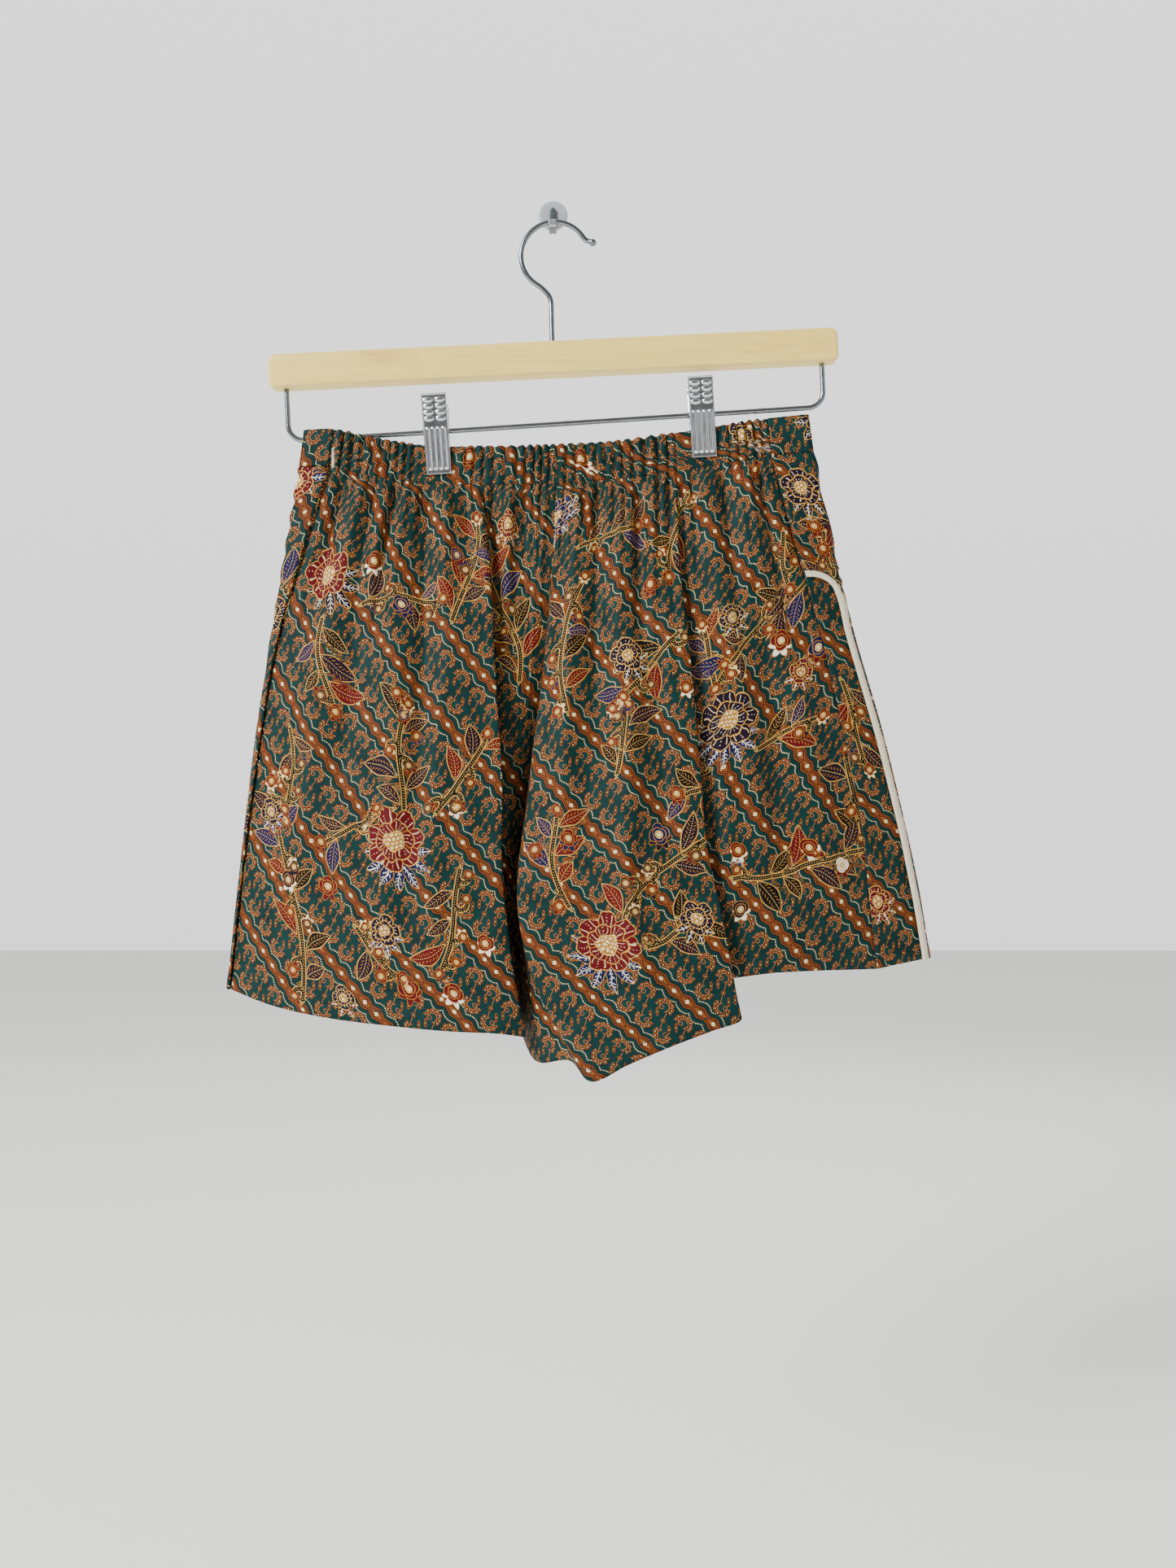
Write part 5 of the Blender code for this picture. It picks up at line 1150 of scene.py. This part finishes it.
def woodMaterial(look):
    # Planed pale wood under satin lacquer: long grain, short pores and a darker stretch left of the middle
    material, node, setShader = newMaterial("lacquered pale wood")
    pale, dark, grained, worn = (linearColour(look[key]) for key in ("pale", "dark", "grain", "worn"))
    spot = node("TexCoord", out=3)
    drift = node("TexNoise", {"Vector": spot, "Scale": 14.0, "Detail": 2.0}, out=1)
    long = node("VectorMath", drift, (0.02, 0.01, 0.004), spot, operation="MULTIPLY_ADD")
    long = node("VectorMath", long, (9.0, 420.0, 420.0), operation="MULTIPLY")
    grain = node("TexNoise", {"Vector": long, "Scale": 1.0, "Detail": 5.0, "Roughness": 0.6})
    short = node("VectorMath", spot, (90.0, 2600.0, 2600.0), operation="MULTIPLY")
    pores = node("MULTIPLY_ADD", node("TexNoise", {"Vector": short, "Scale": 1.0}), 5.0, -3.0, use_clamp=True)
    away = node("VectorMath", spot, look["patch"], operation="SUBTRACT")
    away = node("VectorMath", away, tuple(1000 / s for s in look["patchSize"]), operation="MULTIPLY")
    away = node("VectorMath", away, (1, 0, 1), operation="MULTIPLY")
    patch = node("SUBTRACT", 1.0, node("VectorMath", away, operation="LENGTH", out=1), use_clamp=True)
    edges = node("MULTIPLY_ADD", node("NewGeometry", out=7), 9.0, -4.6, use_clamp=True)
    colour = pale
    for share, over in ((node("MULTIPLY_ADD", grain, 1.9, -0.65, use_clamp=True), grained),
                        (node("MULTIPLY", patch, grain), dark), (node("MULTIPLY", pores, 0.35), dark),
                        (node("MULTIPLY", edges, 0.4), worn)):
        colour = node("Mix", {0: share, 6: colour, 7: over}, **colourMix)
    setShader({
        "Base Color": colour,
        "Normal": node("Bump", {"Height": node("SUBTRACT", grain, pores), "Strength": 0.3, "Distance": 0.00008}),
        "Roughness": node("MULTIPLY_ADD", grain, 0.2, 0.32),
        "IOR": 1.52, "Coat Weight": 0.2, "Coat Roughness": 0.3,
    })
    return material


def metalMaterial(name, look):
    # Bare or plated metal: drawn lines one way, cloudy plating, and brighter rubbed edges
    material, node, setShader = newMaterial(name)
    plain, dark, bright = (linearColour(colour) for colour in (look["colour"], look["dark"], rubbedMetal))
    spot = node("TexCoord", out=3)
    stretched = node("VectorMath", spot, look["grain"], operation="MULTIPLY")
    lines = node("TexNoise", {"Vector": stretched, "Scale": 1.0, "Detail": 4.0})
    clouds = node("TexNoise", {"Vector": spot, "Scale": 160.0, "Detail": 3.0})
    share = node("MULTIPLY_ADD", clouds, 2.2, -0.75, use_clamp=True)
    colour = node("Mix", {0: share, 6: plain, 7: dark}, **colourMix)
    rubbed = node("MULTIPLY_ADD", node("NewGeometry", out=7), 8.0, -4.1, use_clamp=True)
    rubbed = node("MULTIPLY", rubbed, look["rubbed"])
    setShader({
        "Base Color": node("Mix", {0: rubbed, 6: colour, 7: bright}, **colourMix),
        "Normal": node("Bump", {"Height": lines, "Strength": 0.25, "Distance": look["depth"]}),
        "Roughness": node("MULTIPLY_ADD", node("MULTIPLY", lines, clouds), look["varied"] * 2, look["rough"]),
        "Metallic": 1.0,
    })
    return material


def discMaterial(look):
    # Frosted plastic that lets some light through; its middle is painted darker as painted shade, which leaves a
    # painted highlight round the rim
    material, node, setShader = newMaterial("frosted plastic")
    plastic, paintedShadeColour = linearColour(look["plastic"]), linearColour(look["core"])
    spot = node("TexCoord", out=3)
    level = node("VectorMath", spot, (1, 0, 1), operation="MULTIPLY")
    cloudy = node("TexNoise", {"Vector": spot, "Scale": 350.0, "Detail": 3.0})
    # painted shade: the disc's middle is mixed toward the darker colour, fading out between 6.8 and 8.5 mm from its
    # centre, so the rim shows a painted highlight
    core = node("MULTIPLY_ADD", node("VectorMath", level, operation="LENGTH", out=1), -600.0, 5.1, use_clamp=True)
    shade = node("MULTIPLY", core, node("MULTIPLY_ADD", cloudy, 0.2, 0.4))
    setShader({
        "Base Color": node("Mix", {0: shade, 6: plastic, 7: paintedShadeColour}, **colourMix),
        "Normal": node("Bump", {"Height": cloudy, "Strength": 0.15, "Distance": 0.00004}),
        "Roughness": node("MULTIPLY_ADD", cloudy, 0.2, 0.34),
        "IOR": 1.49, "Subsurface Weight": 0.15, "Subsurface Radius": (0.004, 0.004, 0.004),
    })
    return material


def hookMaterial(look):
    # Dark grey paint with a fine orange peel, rubbed to bare metal on the lip that hangers slide over
    material, node, setShader = newMaterial("dark grey paint")
    paint, worn = linearColour(look["paint"]), linearColour(look["worn"])
    spot = node("TexCoord", out=3)
    peel = node("TexNoise", {"Vector": spot, "Scale": 900.0, "Detail": 2.0})
    lip = node("SUBTRACT", look["wornFrom"], node("SeparateXYZ", spot, out=1))
    bare = node("MULTIPLY_ADD", lip, 2500.0, node("MULTIPLY_ADD", peel, 1.2, -0.3), use_clamp=True)
    edges = node("MULTIPLY_ADD", node("NewGeometry", out=7), 8.0, -4.3, use_clamp=True)
    bare = node("MAXIMUM", bare, node("MULTIPLY", edges, 0.25))
    setShader({
        "Base Color": node("Mix", {0: bare, 6: paint, 7: worn}, **colourMix),
        "Metallic": node("MULTIPLY", bare, 0.9),
        "Roughness": node("MULTIPLY_ADD", peel, 0.25, 0.25),
        "Normal": node("Bump", {"Height": peel, "Strength": 0.3, "Distance": 0.00004}),
    })
    return material


def floorMaterial(look):
    # Matt paper with a faint tooth
    material, node, setShader = newMaterial("pale floor")
    tooth = node("TexNoise", {"Vector": node("TexCoord", out=3), "Scale": 60.0, "Detail": 3.0})
    bump = node("Bump", {"Height": tooth, "Strength": 0.1, "Distance": 0.0005})
    setShader({"Base Color": linearColour(look["paper"]), "Normal": bump, "Roughness": 0.8})
    return material


creamTape = tapeMaterial(tapeLook)
wood = woodMaterial(woodLook)
chrome, zinc, springSteel = (metalMaterial(name, look) for name, look in metalLook.items())
frosted = discMaterial(discLook)
darkHook = hookMaterial(hookLook)
batik = batikMaterial(batikPrint)
print("materials ready")

outward = {name: outNormals(rows, 1 if name in gathers else -1) for name, rows in legs.items()}
for one, oneColumn, two, twoColumn, weights in seams[:2] + seams[4:]:
    mitre(outward[one], oneColumn, outward[two], twoColumn, weights > 0.99)
panels = {}


def addPanel(name, node, restsOn, rows, side, column, gather=0.0, sewn=None, thickness=None):
    normals = outward[name] if name in outward else outNormals(rows, side)
    flat = clothMap(rows, column, gather, side)
    if sewn:        # the turned-up hem stands a little off the cloth, and ends in a soft step
        step = np.exp(np.clip((aboveHem(rows) - cloth["hemFold"]) / (0.5 * mm), -30, 30))
        thickness = (cloth["thickness"] + 2 * cloth["hemRise"] / (1 + step))[..., None]
        rows = drawnSeams(rows, normals, sewn)
    panels[name] = {"node": node, "restsOn": restsOn, "rows": rows, "normals": normals, "thickness": thickness,
                    "cloth": flat, "hemmed": bool(sewn), "held": "gathered" if side == 1 else "hung",
                    "shown": side == 1 or name == "frontRight"}


legNodes = ("shorts_back_left", "shorts_back_right", "shorts_front_left", "shorts_front_right")
for node, (name, rows) in zip(legNodes, legs.items()):
    if name in gathers:
        addPanel(name, node, ["waistband_back"], rows, 1, rows.shape[1] // 2, gather=0.25, sewn=(True, True))
    else:
        addPanel(name, node, ["waistband_front"], rows, -1, rows.shape[1] // 2, sewn=(True, True))
addPanel("skirtFront", "skirt_front", ["waistband_front"], skirtRows(), -1, 90, sewn=(True, False))
rows, thickness = elasticBand()
addPanel("elasticBand", "waistband_back", ["clip_left_outer_jaw", "clip_right_outer_jaw"], rows, 1, 165,
         thickness=thickness[..., None])
addPanel("flatBand", "waistband_front", ["clip_left_inner_jaw", "clip_right_inner_jaw"], flatBand(), -1, 115,
         thickness=band["frontThickness"])
printPlaces(panels)
for name, panel in panels.items():
    layers = {**motifLayers(panel), "clothUV": panel["cloth"] * mm}
    if panel["hemmed"]:
        up = aboveHem(panel["rows"])
        layers["sewing"] = np.stack([panel["cloth"][..., 0], (up - cloth["hemFold"]) / mm + 0.8, np.ones_like(up)], -1)
    elif name == "elasticBand":
        across, up = np.moveaxis(seen(panel["rows"]) - band["tack"], -1, 0)
        layers["sewing"] = np.stack([up, across, np.full_like(up, 2.0)], -1)
    mesh = shellMesh(name, panel["rows"], panel["normals"], panel["thickness"], layers)
    panel["piece"] = addPiece(name, mesh, batik, panel["node"])
rows, normals = bindingRows()
print("binding runs", round(float(lengths(rows, 0)[-1, 4]), 3), "m")
mesh = shellMesh("skirtBinding", rows, normals, binding["thickness"], {"clothUV": clothMap(rows, 4) * mm})
skirtBinding = addPiece("skirtBinding", mesh, creamTape, "skirt_binding")

# A loop over the panels that only takes each one's rows
for name, panel in panels.items():
    rows = panel["rows"]
print("cloth built")

solids = [("hangerBar", [woodenBar()], wood, "light_wood", "hanger_bar"),
          ("hangerHook", [hangerHook()], chrome, "wire", "hanger_hook"),
          ("hangerRail", [hangerRail()], chrome, "wire", "hanger_rail")]
outer = [outerJaw(), ear(clip["outerEar"], -1), ear(-clip["outerEar"] - clip["sheet"], -1)]
inner = [innerJaw(), ear(clip["innerEar"], 1), ear(-clip["innerEar"] - clip["sheet"], 1)]
for side, x in clipX.items():
    for part, shapes, lean, *rest in (("Outer", outer, clip["outerLean"], zinc, "clip_sheet", "_outer_jaw"),
                                      ("Inner", inner, -clip["innerLean"], zinc, "clip_sheet", "_inner_jaw"),
                                      ("Spring", [springCoil()], 0.0, springSteel, "spring_wire", "_spring")):
        at = railFrame(x) @ Matrix.Rotation(lean, 4, "X")
        shapes = [(placed(at, points), faces) for points, faces in shapes]
        solids.append((side + "Clip" + part, shapes, *rest[:2], "clip_" + side + rest[2]))
solids += [("wallDisc", [wallDisc()], frosted, "disc_plastic", "wall_disc"),
           ("wallHook", wallHook(), darkHook, "hook_metal", "wall_hook")]
for name, shapes, material, slot, node in solids:
    addPiece(name, joinedMesh(name, shapes), material, node)
print("hanger built")

bpy.ops.mesh.primitive_plane_add(size=floorLook["size"], location=(0, 0, floorLook["height"]))
floor = bpy.context.object
floor.name = "paleFloor"
floor.data.materials.append(floorMaterial(floorLook))


def addObject(name, data):
    thing = bpy.data.objects.new(name, data)
    bpy.context.scene.collection.objects.link(thing)
    return thing


# Soft lights: where each stands, what it is turned to, its size in metres and its watts
lights = {"key": ((-2.0, -1.9, 1.2), (0, 0, -0.3), 0.95, 158), "fill": ((1.5, -1.4, 0.0), (0, 0, -0.35), 1.4, 7),
          "rear": ((0.6, 1.6, 0.6), (0, 0, -0.35), 1.6, 14)}
for name, (location, target, size, power) in lights.items():
    lamp = bpy.data.lights.new(name, "AREA")
    lamp.energy, lamp.size = power, size
    light = addObject(name, lamp)
    light.location = location
    light.rotation_euler = (Vector(target) - Vector(location)).to_track_quat("-Z", "Y").to_euler()

# A white wall beyond the skort, falling off to a dimmer room on the near side, which the metal mirrors
room = {"wall": 1.47, "dim": 0.09, "fallOff": 1.3, "above": 0.25}
world = bpy.data.worlds.new("studio")
bpy.context.scene.world = world
world.use_nodes = True
node = partial(addNode, world.node_tree)
beyond, up = node("SeparateXYZ", node("TexCoord"), out=(1, 2))
glow = node("MULTIPLY_ADD", up, room["above"], node("MULTIPLY_ADD", beyond, room["fallOff"], 0.35, use_clamp=True))
setInputs(world.node_tree, world.node_tree.nodes["Background"],
          {"Color": (1, 1, 1, 1), "Strength": node("MULTIPLY_ADD", glow, room["wall"], room["dim"])})

lens = bpy.data.cameras.new("camera")
lens.lens, lens.clip_end = view["lens"], view["farClip"]
camera = addObject("camera", lens)
camera.location = view["eye"]
camera.rotation_euler = (math.radians(90), 0, 0)
bpy.context.scene.camera = camera
